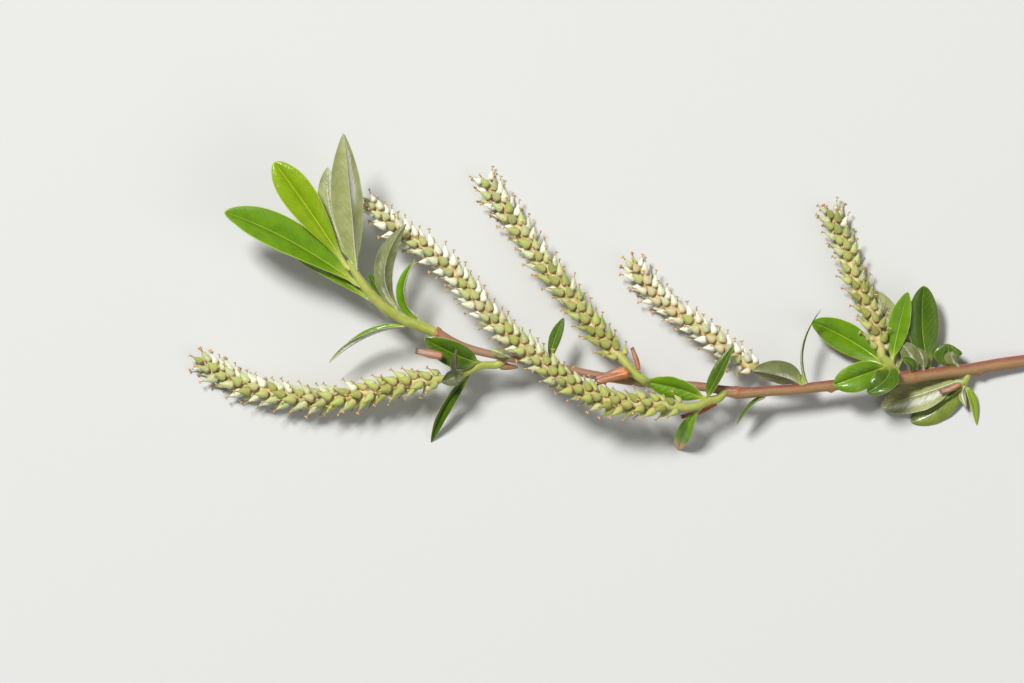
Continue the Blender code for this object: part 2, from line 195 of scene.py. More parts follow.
def skin_faces(rows, columns):
    """Quads between the rows of a grid that closes round its columns, and at each end a fan of
    triangles to a closing point. The two closing points come after the grid's own points."""
    row, i = np.meshgrid(np.arange(rows - 1), np.arange(columns), indexing="ij")
    j = (i + 1) % columns
    quads = np.stack((row * columns + i, row * columns + j, (row + 1) * columns + j,
                      (row + 1) * columns + i), axis=-1).reshape(-1, 4)
    i = np.arange(columns)
    j = (i + 1) % columns
    foot, last = np.full(columns, rows * columns), (rows - 1) * columns
    triangles = np.concatenate((np.stack((foot, j, i), axis=-1),
                                np.stack((foot + 1, last + i, last + j), axis=-1)))
    return quads, triangles


def closed_surface(name, node, grid, ends, materials, attributes, sides=None):
    """A piece from a grid of points: rows run along it, columns go round it, and each end closes
    to one point. The closing points' attributes are the means of their nearest rows. `sides`
    holds each column's place in the list of materials."""
    rows, columns, _ = grid.shape
    quads, triangles = skin_faces(rows, columns)
    closed = {}
    for label, values in attributes.items():
        flat = np.asarray(values, dtype=float).reshape(rows, columns, -1)
        closed[label] = np.concatenate((*flat, flat[[0, -1]].mean(axis=1)))
    face_sides = None if sides is None else np.tile(sides, rows + 1)
    add_piece(name, node, np.concatenate((*grid, ends)), quads.tolist() + triangles.tolist(),
              materials, closed, LOWEST, face_sides)


def add_piece(name, node, points, faces, materials, attributes, lowest, face_sides=None):
    """A smooth piece in metres from points in millimetres, none lower than `lowest`, that rides
    on the branch and stands for its CAD node. Attributes hold one value or vector a point."""
    points = points.reshape(-1, 3).copy()
    points[:, 2] = np.maximum(points[:, 2], lowest)
    mesh = bpy.data.meshes.new(name)
    mesh.from_pydata(points * MM, [], faces)
    for material in materials:
        mesh.materials.append(material)
    if face_sides is not None:
        mesh.polygons.foreach_set("material_index", face_sides.astype(np.int32))
    for label, values in attributes.items():
        vector = values.size == points.size
        kind, field = ("FLOAT_VECTOR", "vector") if vector else ("FLOAT", "value")
        layer = mesh.attributes.new(label, kind, "POINT")
        layer.data.foreach_set(field, values.astype(np.float32).reshape(-1))
    mesh.shade_smooth()
    mesh.validate()
    mesh.update()
    piece = bpy.data.objects.new(name, mesh)
    bpy.context.collection.objects.link(piece)
    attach(piece, "root")
    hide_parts(node)


# ================================================================ reading the frame

def layers_of(name):
    """A swept CAD solid's corners in millimetres, the corners of each section in order along
    it, its closing points included, and which corners are joined by an edge.

    Equal corners are merged. A closing point is the corner most edges away from the first, or one
    of those with most edges: the one from which the corners 1, 2, 3... edges away, which are the
    sections, are nearest to as many each.
    """
    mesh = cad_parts[name].data
    corners = np.empty(len(mesh.vertices) * 3)
    mesh.vertices.foreach_get("co", corners)
    points, index = np.unique(corners.reshape(-1, 3).round(8), axis=0, return_inverse=True)
    loops = np.empty(len(mesh.loops), dtype=np.int32)
    mesh.loops.foreach_get("vertex_index", loops)
    triangles = index.reshape(-1)[loops].reshape(-1, 3)
    edges = np.concatenate((triangles[:, [0, 1]], triangles[:, [1, 2]], triangles[:, [2, 0]]))

    def edges_away(start):
        away = np.full(len(points), -1)
        away[start] = 0
        level = 0
        while (away < 0).any():
            reached = edges[away[edges[:, 0]] == level, 1]
            level += 1
            away[reached[away[reached] < 0]] = level
        return away

    joined = np.zeros((len(points), len(points)), dtype=bool)
    joined[edges[:, 0], edges[:, 1]] = True
    joined = joined | joined.T
    starts = (edges_away(0).argmax(), *joined.sum(axis=1).argsort()[:-5:-1])
    ways = [edges_away(start) for start in starts]
    away = min(ways, key=lambda way: np.ptp(np.bincount(way)[1:-1]))
    return points / MM, [np.flatnonzero(away == step) for step in range(away.max() + 1)], joined


def tube_of(name):
    """Centre line of a round CAD solid between its closing points, and the radius along it."""
    points, layers, _ = layers_of(name)
    path = np.array([points[layer].mean(axis=0) for layer in layers])
    radii = [np.linalg.norm(points[layer] - centre, axis=1).mean()
             for layer, centre in zip(layers[1:-1], path[1:-1])]
    return path, np.array([radii[0]] + radii + [radii[-1]])


def even_tube(path, radii, step):
    """The same tube read at even steps along its length."""
    count = max(6, int(lengths_along(path)[-1] / step))
    fine = through(np.column_stack((path, radii)), np.linspace(0, 1, 8 * len(path)))
    where = lengths_along(fine[:, :3])
    spots = np.linspace(0, where[-1], count)
    read = read_at(spots, where, fine)
    return read[:, :3], read[:, 3], spots


def read_at(spots, where, rows):
    """The rows of a table, given at the places `where`, read at `spots` by straight lines."""
    return np.stack([np.interp(spots, where, column) for column in rows.T], axis=-1)


def bezier(a, b, c, d, count):
    """Points on a cubic Bezier curve from a to d, without d itself."""
    u = np.linspace(0, 1, count)[:-1, None]
    return (1 - u) ** 3 * a + 3 * u * (1 - u) ** 2 * b + 3 * u ** 2 * (1 - u) * c + u ** 3 * d


def root_curve(name, start, heading, back):
    """Points from inside a stem to `start`: they leave the stem's side at a place `back`
    millimetres nearer its root, and arrive in the direction `heading`."""
    path, radii, spots = FINE_STEMS[name]
    near = np.linalg.norm(path - start, axis=1).argmin()
    early = np.abs(spots - (spots[near] - back)).argmin()
    growth = unit(path[min(early + 2, len(path) - 1)] - path[max(early - 2, 0)])
    outward = start - path[near]
    outward = unit(outward - growth * np.dot(outward, growth))
    inside = path[early] + outward * radii[early] * 0.55
    reach = np.linalg.norm(start - inside) * 0.45
    return bezier(inside, inside + growth * reach, start - heading * reach, start, 9)


def rooted_tube(name):
    """A stem's fine centre line, radii and places along it, root first. A side stem's first bit
    is a curve that leaves the middle of its parent slantwise and joins its CAD centre line."""
    path, radii = STEM_TUBES[name]
    parent = STEM_PARENTS[name]
    if parent is None:
        if path[0][0] < path[-1][0]:
            path, radii = path[::-1], radii[::-1]
        return even_tube(path, radii, STEM_STEP)
    line, line_radii, line_spots = rooted_tube(parent)
    gaps = np.linalg.norm(path[[0, -1], None] - line[None], axis=2) - line_radii
    if gaps[0].min() > gaps[1].min():
        path, radii = path[::-1], radii[::-1]
    path, radii, spots = even_tube(path, radii, STEM_STEP)
    near = np.linalg.norm(line - path[0], axis=1).argmin()
    early = np.abs(line_spots - (line_spots[near] - ROOT_BACK)).argmin()
    foot, growth = line[early], unit(line[min(early + 3, len(line) - 1)] - line[early - 3])
    later = max(2, int(np.abs(spots - ROOT_BEND).argmin()))
    heading = unit(path[later + 1] - path[later - 1])
    reach = np.linalg.norm(path[later] - foot) * 0.38
    rise = unit(unit(path[later] - foot) + growth * 0.5)
    lead = bezier(foot, foot + rise * reach, path[later] - heading * reach, path[later], 10)
    path = np.concatenate((lead, path[later:]))
    radii = np.concatenate((np.full(len(lead), radii[later]), radii[later:]))
    return even_tube(path, radii, STEM_STEP)


# each stem and the one that it grows on
STEM_PARENTS = {"main_twig": None, "tip_shoot": "main_twig", "spur_a": "main_twig",
                "stalk_a": "spur_a", "stalk_b": "main_twig", "stalk_c": "main_twig",
                "stalk_d": "main_twig", "stalk_e": "main_twig", "stalk_f": "main_twig"}
STEM_TUBES = {name: tube_of(name) for name in STEM_PARENTS}
FINE_STEMS = {name: rooted_tube(name) for name in STEM_PARENTS}


def distance_to(stems, point):
    """Distance from a point to the nearest surface of some stems."""
    tubes = [FINE_STEMS[stem] for stem in stems]
    return min((np.linalg.norm(path - point, axis=1) - radii).min() for path, radii, _ in tubes)


# ================================================================ material building blocks

def new_group(name, inputs, outputs):
    """An empty shader node group with float or vector inputs (name, kind, value) and outputs."""
    group = bpy.data.node_groups.new(name, "ShaderNodeTree")
    for label, kind, value in inputs:
        socket = group.interface.new_socket(label, in_out="INPUT", socket_type="NodeSocket" + kind)
        if value is not None:
            socket.default_value = value
    for label, kind in outputs:
        group.interface.new_socket(label, in_out="OUTPUT", socket_type="NodeSocket" + kind)
    return group, group.nodes.new("NodeGroupInput"), group.nodes.new("NodeGroupOutput")


def link(tree, value, socket):
    """Feeds a socket from another socket, or sets it to a plain value."""
    if isinstance(value, bpy.types.NodeSocket):
        tree.links.new(value, socket)
    else:
        socket.default_value = value


def maths(tree, operation, a, b=0.0, c=0.0):
    """One Math node."""
    node = tree.nodes.new("ShaderNodeMath")
    node.operation = operation
    for value, socket in zip((a, b, c), node.inputs):
        link(tree, value, socket)
    return node.outputs[0]


def scaled(tree, vector, factors):
    """A vector multiplied by three factors."""
    node = tree.nodes.new("ShaderNodeVectorMath")
    node.operation = "MULTIPLY"
    link(tree, vector, node.inputs[0])
    link(tree, factors, node.inputs[1])
    return node.outputs[0]


def noise(tree, vector, scale, detail=3.0, roughness=0.55):
    """Noise from 0 to 1."""
    node = tree.nodes.new("ShaderNodeTexNoise")
    link(tree, vector, node.inputs["Vector"])
    link(tree, scale, node.inputs["Scale"])
    node.inputs["Detail"].default_value = detail
    node.inputs["Roughness"].default_value = roughness
    return node.outputs["Fac"]


def ramp(tree, value, low, high):
    """0 up to `low`, 1 from `high`, and a smooth rise between them; falls if low > high."""
    node = tree.nodes.new("ShaderNodeMapRange")
    node.interpolation_type = "SMOOTHSTEP"
    link(tree, value, node.inputs["Value"])
    link(tree, low, node.inputs["From Min"])
    link(tree, high, node.inputs["From Max"])
    return node.outputs["Result"]


COLOUR_A, COLOUR_B, COLOUR_RESULT = 6, 7, 2   # the Mix node's colour sockets


def blend(tree, factor, a, b, share=1.0):
    """Colour a where the factor is 0 and b, by its share, where it is 1."""
    node = tree.nodes.new("ShaderNodeMix")
    node.data_type = "RGBA"
    link(tree, factor if share == 1.0 else maths(tree, "MULTIPLY", factor, share), node.inputs["Factor"])
    for value, socket in ((a, node.inputs[COLOUR_A]), (b, node.inputs[COLOUR_B])):
        link(tree, (*value, 1.0) if isinstance(value, tuple) else value, socket)
    return node.outputs[COLOUR_RESULT]


def strongest(tree, *masks):
    """The greatest of some masks, each times its share."""
    shares = [maths(tree, "MULTIPLY", mask, share) for mask, share in masks]
    total = shares[0]
    for mask in shares[1:]:
        total = maths(tree, "MAXIMUM", total, mask)
    return total


def attribute(tree, name, output="Fac"):
    """A point attribute of the piece."""
    node = tree.nodes.new("ShaderNodeAttribute")
    node.attribute_name = name
    return node.outputs[output]


def bump(tree, height, strength, distance):
    """A normal from a height, with the distance in metres."""
    node = tree.nodes.new("ShaderNodeBump")
    node.inputs["Strength"].default_value = strength
    node.inputs["Distance"].default_value = distance
    link(tree, height, node.inputs["Height"])
    return node.outputs["Normal"]


def placed(tree, group, **inputs):
    """A group node with some inputs set."""
    node = tree.nodes.new("ShaderNodeGroup")
    node.node_tree = group
    for label, value in inputs.items():
        link(tree, value, node.inputs[label.replace("_", " ")])
    return node.outputs


def new_material(name, finish, **constants):
    """A material whose Principled shader takes the colour, roughness and normal that `finish`
    makes from its node tree, as sockets or plain values, and plain constants elsewhere."""
    material = bpy.data.materials.new(name)
    material.use_nodes = True
    tree = material.node_tree
    shader = tree.nodes["Principled BSDF"]
    for value, socket in zip(finish(tree), ("Base Color", "Roughness", "Normal")):
        link(tree, value, shader.inputs[socket])
    for label, value in constants.items():
        shader.inputs[label.replace("_", " ")].default_value = value
    return material


# ================================================================ leaf finishes

def make_blade_group():
    """Leaf pattern from the flat blade's own place: vector (across, along, 0) in millimetres,
    edge from 0 at the midrib to 1 at the margin, length from 0 at the root to 1 at the tip.
    Veins leave the midrib forwards and bend towards the tip. Streaks run along the blade and
    barbs along the veins."""
    group, given, result = new_group(
        "blade_pattern", (("Vein Spacing", "Float", 1.5), ("Seed", "Float", 0.0)),
        (("Veins", "Float"), ("Midrib", "Float"), ("Margin", "Float"), ("Mottle", "Float"),
         ("Streaks", "Float"), ("Barbs", "Float"), ("Fine", "Float"), ("Root", "Float")))
    place = attribute(group, "blade", "Vector")
    parts = group.nodes.new("ShaderNodeSeparateXYZ")
    group.links.new(place, parts.inputs[0])
    across = maths(group, "ABSOLUTE", parts.outputs[0])
    edge = attribute(group, "edge")
    length = attribute(group, "length")
    wobble = noise(group, place, 0.9, 2.0)
    lag = maths(group, "MULTIPLY", across, maths(group, "MULTIPLY_ADD", edge, 0.5, 0.9))
    track = maths(group, "SUBTRACT", parts.outputs[1], lag)
    track = maths(group, "MULTIPLY_ADD", wobble, 0.7, track)
    phase = maths(group, "DIVIDE", track, given.outputs["Vein Spacing"])
    sway = maths(group, "ABSOLUTE", maths(group, "SUBTRACT", maths(group, "FRACT", phase), 0.5))
    veins = maths(group, "MULTIPLY", ramp(group, sway, 0.13, 0.0), ramp(group, edge, 1.0, 0.7))
    tapering = maths(group, "MULTIPLY_ADD", length, -0.75, 1.0)
    midrib = ramp(group, maths(group, "DIVIDE", across, tapering), 0.17, 0.06)
    along_veins = group.nodes.new("ShaderNodeCombineXYZ")
    group.links.new(maths(group, "MULTIPLY", parts.outputs[0], 0.5), along_veins.inputs[0])
    group.links.new(maths(group, "MULTIPLY", track, 4.0), along_veins.inputs[1])
    group.links.new(given.outputs["Seed"], along_veins.inputs[2])
    seeded = group.nodes.new("ShaderNodeVectorMath")
    seeded.operation = "ADD"
    group.links.new(place, seeded.inputs[0])
    group.links.new(given.outputs["Seed"], seeded.inputs[1])
    spot = seeded.outputs[0]
    values = (("Veins", veins), ("Midrib", midrib), ("Margin", ramp(group, edge, 0.945, 0.99)),
              ("Mottle", noise(group, spot, 0.45, 4.0)),
              ("Streaks", noise(group, scaled(group, spot, (5.0, 0.45, 1.0)), 1.1, 5.0, 0.65)),
              ("Barbs", noise(group, along_veins.outputs[0], 1.3, 4.0, 0.6)),
              ("Fine", noise(group, scaled(group, spot, (9.0, 3.0, 1.0)), 1.6, 3.0)),
              ("Root", ramp(group, length, 0.22, 0.0)))
    for label, value in values:
        group.links.new(value, result.inputs[label])
    return group


BLADE = make_blade_group()


def upper_leaf(name, deep, bright, pale, tip=None, gloss=0.30):
    """The glossy upper side: deep and bright greens in soft patches, a fine pale midrib and
    margin, a lighter root and point, faint veins, and a tip of its own colour if given."""
    def finish(tree):
        out = placed(tree, BLADE, Vein_Spacing=1.3)
        length = attribute(tree, "length")
        body = blend(tree, ramp(tree, out["Mottle"], 0.15, 0.85), deep, bright)
        body = blend(tree, ramp(tree, out["Barbs"], 0.45, 0.75), body, bright, 0.45)
        body = blend(tree, out["Veins"], body, pale, 0.12)
        body = blend(tree, out["Root"], body, pale, 0.70)
        if tip is not None:
            body = blend(tree, ramp(tree, length, 0.70, 0.92), body, tip)
        lines = strongest(tree, (out["Midrib"], 0.60), (out["Margin"], 0.70),
                          (ramp(tree, length, 0.982, 0.995), 0.8))
        height = maths(tree, "MULTIPLY_ADD", out["Barbs"], 0.8, maths(tree, "MULTIPLY", out["Fine"], 0.35))
        return (blend(tree, lines, body, pale),
                maths(tree, "MULTIPLY_ADD", out["Fine"], 0.20, gloss - 0.06),
                bump(tree, maths(tree, "SUBTRACT", height, out["Veins"]), 0.65, 0.00009))

    return new_material("leaf_" + name, finish, Specular_IOR_Level=0.32, Coat_Weight=0.30,
                        Coat_Roughness=0.13, Subsurface_Weight=0.06, Subsurface_Scale=0.0005,
                        Subsurface_Radius=(0.5, 1.0, 0.2))


def silky_leaf(name, body_dark, body_light, silk_and_sheen, cover, sheen=0.4):
    """The lower side: olive under lying silky hairs, which whiten it in barbs along the veins,
    the more where the leaf carries its band of painted sheen, with a pale raised midrib, fine
    paler veins and a yellow-green root."""
    def finish(tree):
        out = placed(tree, BLADE, Vein_Spacing=1.5, Seed=7.0)
        body = blend(tree, ramp(tree, out["Mottle"], 0.2, 0.8), body_dark, body_light)
        body = blend(tree, out["Veins"], body, body_light, 0.80)
        body = blend(tree, out["Root"], body, (0.36, 0.42, 0.08), 0.95)
        lying = maths(tree, "MULTIPLY_ADD", out["Barbs"], 0.7, maths(tree, "MULTIPLY", out["Streaks"], 0.4))
        # this attribute is a painted sheen: it whitens the hairs more in a band, as if they caught the light
        # there
        lying = maths(tree, "MULTIPLY_ADD", attribute(tree, "silk_and_sheen"), 0.42, lying)
        hairs = ramp(tree, lying, 0.82 - cover, 1.08 - cover)
        hairs = maths(tree, "MULTIPLY", hairs, ramp(tree, out["Fine"], 0.18, 0.50))
        body = blend(tree, hairs, body, silk_and_sheen)
        lines = strongest(tree, (out["Midrib"], 0.50), (out["Margin"], 0.45))
        height = maths(tree, "ADD", out["Barbs"], maths(tree, "MULTIPLY", out["Veins"], 0.8))
        height = maths(tree, "MULTIPLY_ADD", out["Fine"], 0.5, height)
        return (blend(tree, lines, body, silk_and_sheen), maths(tree, "MULTIPLY_ADD", out["Barbs"], -0.30, 0.60),
                bump(tree, height, 0.85, 0.00010))

    return new_material("silk_" + name, finish, Sheen_Weight=sheen, Sheen_Roughness=0.35,
                        Sheen_Tint=(0.95, 0.97, 0.9, 1.0), Specular_IOR_Level=0.5)


UPPER_FINISHES = {
    "green": upper_leaf("green", (0.090, 0.205, 0.001), (0.150, 0.300, 0.001), (0.50, 0.56, 0.08)),
    "dark": upper_leaf("dark", (0.040, 0.095, 0.001), (0.080, 0.160, 0.001), (0.34, 0.40, 0.07)),
    "fresh": upper_leaf("fresh", (0.200, 0.330, 0.001), (0.270, 0.400, 0.004), (0.62, 0.66, 0.16),
                        gloss=0.20),
    "olive": upper_leaf("olive", (0.110, 0.155, 0.010), (0.230, 0.290, 0.035), (0.40, 0.42, 0.14),
                        gloss=0.40),
    "tipped": upper_leaf("tipped", (0.080, 0.220, 0.001), (0.200, 0.400, 0.004), (0.54, 0.60, 0.12),
                         tip=(0.74, 0.46, 0.20)),
}
LOWER_FINISHES = {
    "pale": silky_leaf("pale", (0.260, 0.285, 0.085), (0.40, 0.42, 0.16), (0.82, 0.83, 0.68), 0.15),
    "bright": silky_leaf("bright", (0.270, 0.300, 0.100), (0.42, 0.45, 0.18), (0.86, 0.86, 0.76), 0.26),
    "olive": silky_leaf("olive", (0.130, 0.150, 0.040), (0.235, 0.255, 0.090), (0.60, 0.60, 0.48), 0.05),
    "dull": silky_leaf("dull", (0.055, 0.066, 0.016), (0.120, 0.135, 0.042), (0.36, 0.36, 0.27), 0.0,
                       0.25),
}


# ================================================================ leaves

def fold_error(margins, middles):
    """How far the margins' lift is from one share of their spread at every station, as the CAD
    blade has it, if each row of `middles` holds the upper corner of the midrib first."""
    normal = unit(middles[:, 0] - middles[:, 1])
    lift = ((margins.mean(axis=1) - midrib_between(middles)) * normal).sum(axis=1)
    spread = np.linalg.norm(margins[:, 0] - margins[:, 1], axis=1)
    return np.abs(lift - spread * (lift @ spread) / (spread @ spread)).sum()


def midrib_between(middles):
    """The blade's middle line between each station's upper and lower corner."""
    return middles[:, 1] + (middles[:, 0] - middles[:, 1]) * CAD_KEEL / (CAD_KEEL + CAD_TOP)


def leaf_stations(name):
    """The CAD leaf's own sections, root first: midrib, blade normals, and the unit direction and
    reach of each half. In a section the margins are the longer pair of corners not joined."""
    points, layers, joined = layers_of(name)
    stems = LEAF_STEMS[name.split("_")[1]]
    if distance_to(stems, points[layers[0][0]]) > distance_to(stems, points[layers[-1][0]]):
        layers = layers[::-1]
    margins, middles = [], []
    for layer in layers[1:-1]:
        facing = [i for i in layer[1:] if not joined[layer[0], i]][0]
        pair = points[[layer[0], facing]]
        rest = points[[i for i in layer if i not in (layer[0], facing)]]
        if np.linalg.norm(pair[0] - pair[1]) < np.linalg.norm(rest[0] - rest[1]):
            pair, rest = rest, pair
        if middles and np.dot(rest[0] - rest[1], middles[-1][0] - middles[-1][1]) < 0:
            rest = rest[::-1]
        margins.append(pair)
        middles.append(rest)
    margins, middles = np.array(margins), np.array(middles)
    if fold_error(margins, middles) > fold_error(margins, middles[:, ::-1]):
        middles = middles[:, ::-1]
    normals = unit(middles[:, 0] - middles[:, 1])
    inner = midrib_between(middles)
    midrib = np.concatenate((points[layers[0]], inner, points[layers[-1]]))
    rights = np.cross(midrib[2:] - midrib[:-2], normals)
    swapped = ((margins[:, 1] - inner) * rights).sum(axis=1) < 0
    margins[swapped] = margins[swapped][:, ::-1]
    arms = margins - inner[:, None]
    sides, reach = unit(arms), np.linalg.norm(arms, axis=2).mean(axis=1)
    return midrib, normals[[0, *range(len(normals)), -1]], sides[[0, *range(len(sides)), -1]], reach


STATIONS = {name: leaf_stations(name) for name in LEAF_LOOKS}
# the stem that each leaf grows on: the nearest to its root of those its group can grow on
LEAF_STEM = {name: min(LEAF_STEMS[name.split("_")[1]], key=lambda stem: distance_to((stem,), way[0][0]))
             for name, way in STATIONS.items()}


def fitted_outline(reach):
    """Half width as scale * place**rise * (1 - place)**roundness, fitted to the CAD stations."""
    places = np.arange(1, len(reach) + 1) / (len(reach) + 1)
    rise, scale = np.polyfit(np.log(places), np.log(reach) - TIP_ROUNDNESS * np.log(1 - places), 1)
    return math.exp(scale), rise


def leaf_surface(name, rows, half_columns):
    """Grid of a leaf's closed skin, its midrib, its attributes and its two sides' columns.

    The midrib starts inside the stem and curves out along a leaf stalk. Half width follows the
    fitted outline, drawn in towards the tip by the leaf's point, and no less than the stalk's.
    Each half is puffed between midrib and margin, the margin turns down a little, and the skin
    quilts softly between the side veins. The upper skin dips at the midrib, and the lower skin
    bulges there in a keel that thins towards the tip. Some leaves turn about the midrib, by the
    square of the place along it.
    """
    _, _, puff, wavy, point, sheen_side = LEAF_LOOKS[name]
    seed = sum(ord(letter) * (i + 3) for i, letter in enumerate(name))
    midrib, normals, sides, reach = STATIONS[name]
    scale, rise = fitted_outline(reach)
    widest = reach.max()
    turns = np.linspace(0, 1, rows)
    blade = 0.004 + 0.992 * (1 - np.cos(math.pi * turns ** 0.92)) / 2
    root = root_curve(LEAF_STEM[name], midrib[0], unit(midrib[1] - midrib[0]), 0.6 + 0.12 * widest)
    centre = np.concatenate((root, through(midrib, blade)))
    places = np.concatenate((np.zeros(len(root)), blade))
    tangents = unit(np.gradient(centre, axis=0))
    twist = math.radians(LEAF_TWISTS.get(name, 0)) * places ** 2
    normal, *arms = [turned(across(through(rows_of, places), tangents, len(root)), tangents, twist)
                     for rows_of in (normals, sides[:, 0], sides[:, 1])]
    arms = np.stack(arms, axis=1)
    along = lengths_along(centre)
    out_of_stem = np.clip(along - along[len(root)], 0, None)
    stalk = 0.20 + 0.09 * widest
    width = scale * places ** rise * (1 - places) ** TIP_ROUNDNESS * (1 - 0.55 * point * places ** 6)
    width = width * (1 + 0.022 * wavy * waves(places * 1.6, seed))
    width = (width ** 4 + (stalk * (1 - places) ** 1.5) ** 4) ** 0.25
    width[:len(root)] *= 1 + 0.30 * np.linspace(1, 0, len(root)) ** 2

    share = np.sin(np.linspace(-math.pi / 2, math.pi / 2, 2 * half_columns + 1))
    share = np.sign(share) * np.abs(share) ** 1.15
    loop = np.concatenate((share, share[::-1][1:-1]))
    upper = np.concatenate((np.ones(len(share)), np.zeros(len(share) - 2)))
    s, out = loop[None, :], np.abs(loop)[None, :]
    w = width[:, None]
    t = places[:, None]
    stem_like = np.exp(-out_of_stem / 1.6)[:, None]
    arm = np.where((loop < 0)[None, :, None], arms[:, :1], arms[:, 1:])
    inner = np.cross(arm, tangents[:, None]) * np.where(loop < 0, -1.0, 1.0)[None, :, None]
    near = np.exp(-(out * w / 0.25) ** 2)[..., None]
    lift = unit(inner * (1 - near) + normal[:, None] * near)
    hollow = np.sin(math.pi * np.clip(out, 0, 1))
    crest = (0.55 * puff * w * hollow - 0.10 * w * out ** 4) * (1 - stem_like)
    ripple = 0.045 * wavy * w * out ** 2 * waves(places * 2.3, seed + 5)[:, None] * np.sign(s + 1e-9)
    fade = np.clip(w / widest, 0, 1)
    quilt = 0.5 - 0.5 * np.cos(TAU * (along[:, None] - out * w * (0.9 + 0.5 * out)) / 1.4)
    quilt = (0.015 + 0.10 * puff) * quilt * fade * hollow
    rounded = np.sqrt(np.clip(1 - out ** 2, 0, 1))
    half_thick = 0.03 + rounded * (0.05 * (0.4 + 0.6 * fade) + 0.75 * stalk * stem_like)
    keel = (0.05 + 0.15 * (1 - t) ** 0.8) * np.exp(-(out * w / 0.17) ** 2) * (1 - 0.7 * stem_like)
    groove = 0.05 * np.exp(-(out * w / 0.14) ** 2) * fade
    height = np.where(upper > 0.5, half_thick + quilt - groove, 0.6 * quilt - half_thick - keel)
    height = height + crest + ripple
    grid = centre[:, None] + arm * (out * w)[..., None] + lift * height[..., None]
    # painted sheen: a silvery band along one half, or along the midrib, that whitens the hairs there as if
    # they caught the light
    painted_sheen = np.exp(-((s - 0.40 * sheen_side) / 0.32) ** 2) * (0.7 + 0.4 * waves(places, seed + 9))[:, None]
    attributes = {
        "blade": np.stack((s * w, along[:, None] + 0 * s, seed % 7 + 0 * s * w), axis=-1),
        "edge": out + 0 * w,
        "length": t + 0 * s,
        "silk_and_sheen": painted_sheen,
    }
    half = (upper < 0.5).astype(int)
    half[len(share) - 1:] = 1
    return grid, centre, attributes, half


def turned(vectors, axes, angles):
    """Unit vectors square to unit axes, each turned about its own axis by an angle."""
    angles = angles[:, None]
    return vectors * np.cos(angles) + np.cross(axes, vectors) * np.sin(angles)


def across(vectors, tangents, steady):
    """Unit vectors made square to a path. Those before `steady` are carried back from it, each
    from the next one along, so that they don't flip where the path leaves its stem."""
    vectors = unit(vectors - tangents * (vectors * tangents).sum(axis=1, keepdims=True))
    for k in range(steady - 1, -1, -1):
        vectors[k] = unit(vectors[k + 1] - tangents[k] * np.dot(vectors[k + 1], tangents[k]))
    return vectors


def make_leaf(name):
    """One leaf with its stalk run into the stem, standing for its CAD blade."""
    midrib, _, _, reach = STATIONS[name]
    size = np.linalg.norm(midrib[-1] - midrib[0])
    rows = int(np.clip(size * 4, 44, 100))
    half_columns = int(np.clip(reach.max() * 5, 8, 18))
    grid, centre, attributes, half = leaf_surface(name, rows, half_columns)
    above, beneath = LEAF_LOOKS[name][:2]
    tip = midrib[-1] + unit(centre[-1] - centre[-4]) * 0.05
    closed_surface(name + "_blade", name, grid, (centre[0], tip),
                   [UPPER_FINISHES[above], LOWER_FINISHES[beneath]], attributes, half)


# ================================================================ stems

def make_stem_group():
    """Stem pattern on the straightened stem: the vector attribute holds a point's place round
    the stem and along it, in millimetres. Streaks run lengthways, dots are lenticels."""
    group, given, result = new_group(
        "stem_pattern", (("Stretch", "Float", 0.25),),
        (("Streaks", "Float"), ("Patches", "Float"), ("Dots", "Float"), ("Fine", "Float")))
    place = attribute(group, "grain", "Vector")
    stretch = group.nodes.new("ShaderNodeCombineXYZ")
    stretch.inputs[0].default_value = 1.0
    stretch.inputs[1].default_value = 1.0
    group.links.new(given.outputs["Stretch"], stretch.inputs[2])
    long_place = scaled(group, place, stretch.outputs[0])
    dots = group.nodes.new("ShaderNodeTexVoronoi")
    group.links.new(scaled(group, place, (1.0, 1.0, 0.6)), dots.inputs["Vector"])
    dots.inputs["Scale"].default_value = 1.0
    values = (("Streaks", noise(group, long_place, 3.2, 5.0, 0.62)),
              ("Patches", noise(group, scaled(group, place, (1.0, 1.0, 0.4)), 0.7, 3.0)),
              ("Dots", ramp(group, dots.outputs["Distance"], 0.15, 0.06)),
              ("Fine", noise(group, place, 7.0, 3.0)))
    for label, value in values:
        group.links.new(value, result.inputs[label])
    return group


STEM = make_stem_group()


def bark_finish(tree):
    """Young bark: red-brown on the side that faces the sun, tan to ochre on the other, with
    fine long streaks, pale lenticels, a greyer far part and orange-brown rims at its nodes."""
    out = placed(tree, STEM, Stretch=0.14)
    sunny = ramp(tree, maths(tree, "ADD", attribute(tree, "sunny"),
                             maths(tree, "MULTIPLY_ADD", out["Patches"], 0.4, -0.2)), 0.45, 0.90)
    body = blend(tree, sunny, (0.345, 0.205, 0.080), (0.270, 0.080, 0.048))
    dark = blend(tree, sunny, (0.270, 0.135, 0.055), (0.180, 0.050, 0.038))
    body = blend(tree, ramp(tree, out["Streaks"], 0.60, 0.35), body, dark, 0.55)
    body = blend(tree, ramp(tree, out["Fine"], 0.52, 0.72), body, (0.54, 0.34, 0.23), 0.25)
    body = blend(tree, attribute(tree, "grey"), body, (0.360, 0.205, 0.135), 0.70)
    body = blend(tree, out["Dots"], body, (0.62, 0.46, 0.30), 0.5)
    height = maths(tree, "MULTIPLY_ADD", out["Fine"], 0.35, out["Streaks"])
    height = maths(tree, "MULTIPLY_ADD", out["Dots"], 0.8, height)
    return (blend(tree, attribute(tree, "rim"), body, (0.42, 0.145, 0.045)),
            maths(tree, "MULTIPLY_ADD", out["Streaks"], 0.25, 0.32), bump(tree, height, 0.55, 0.00007))


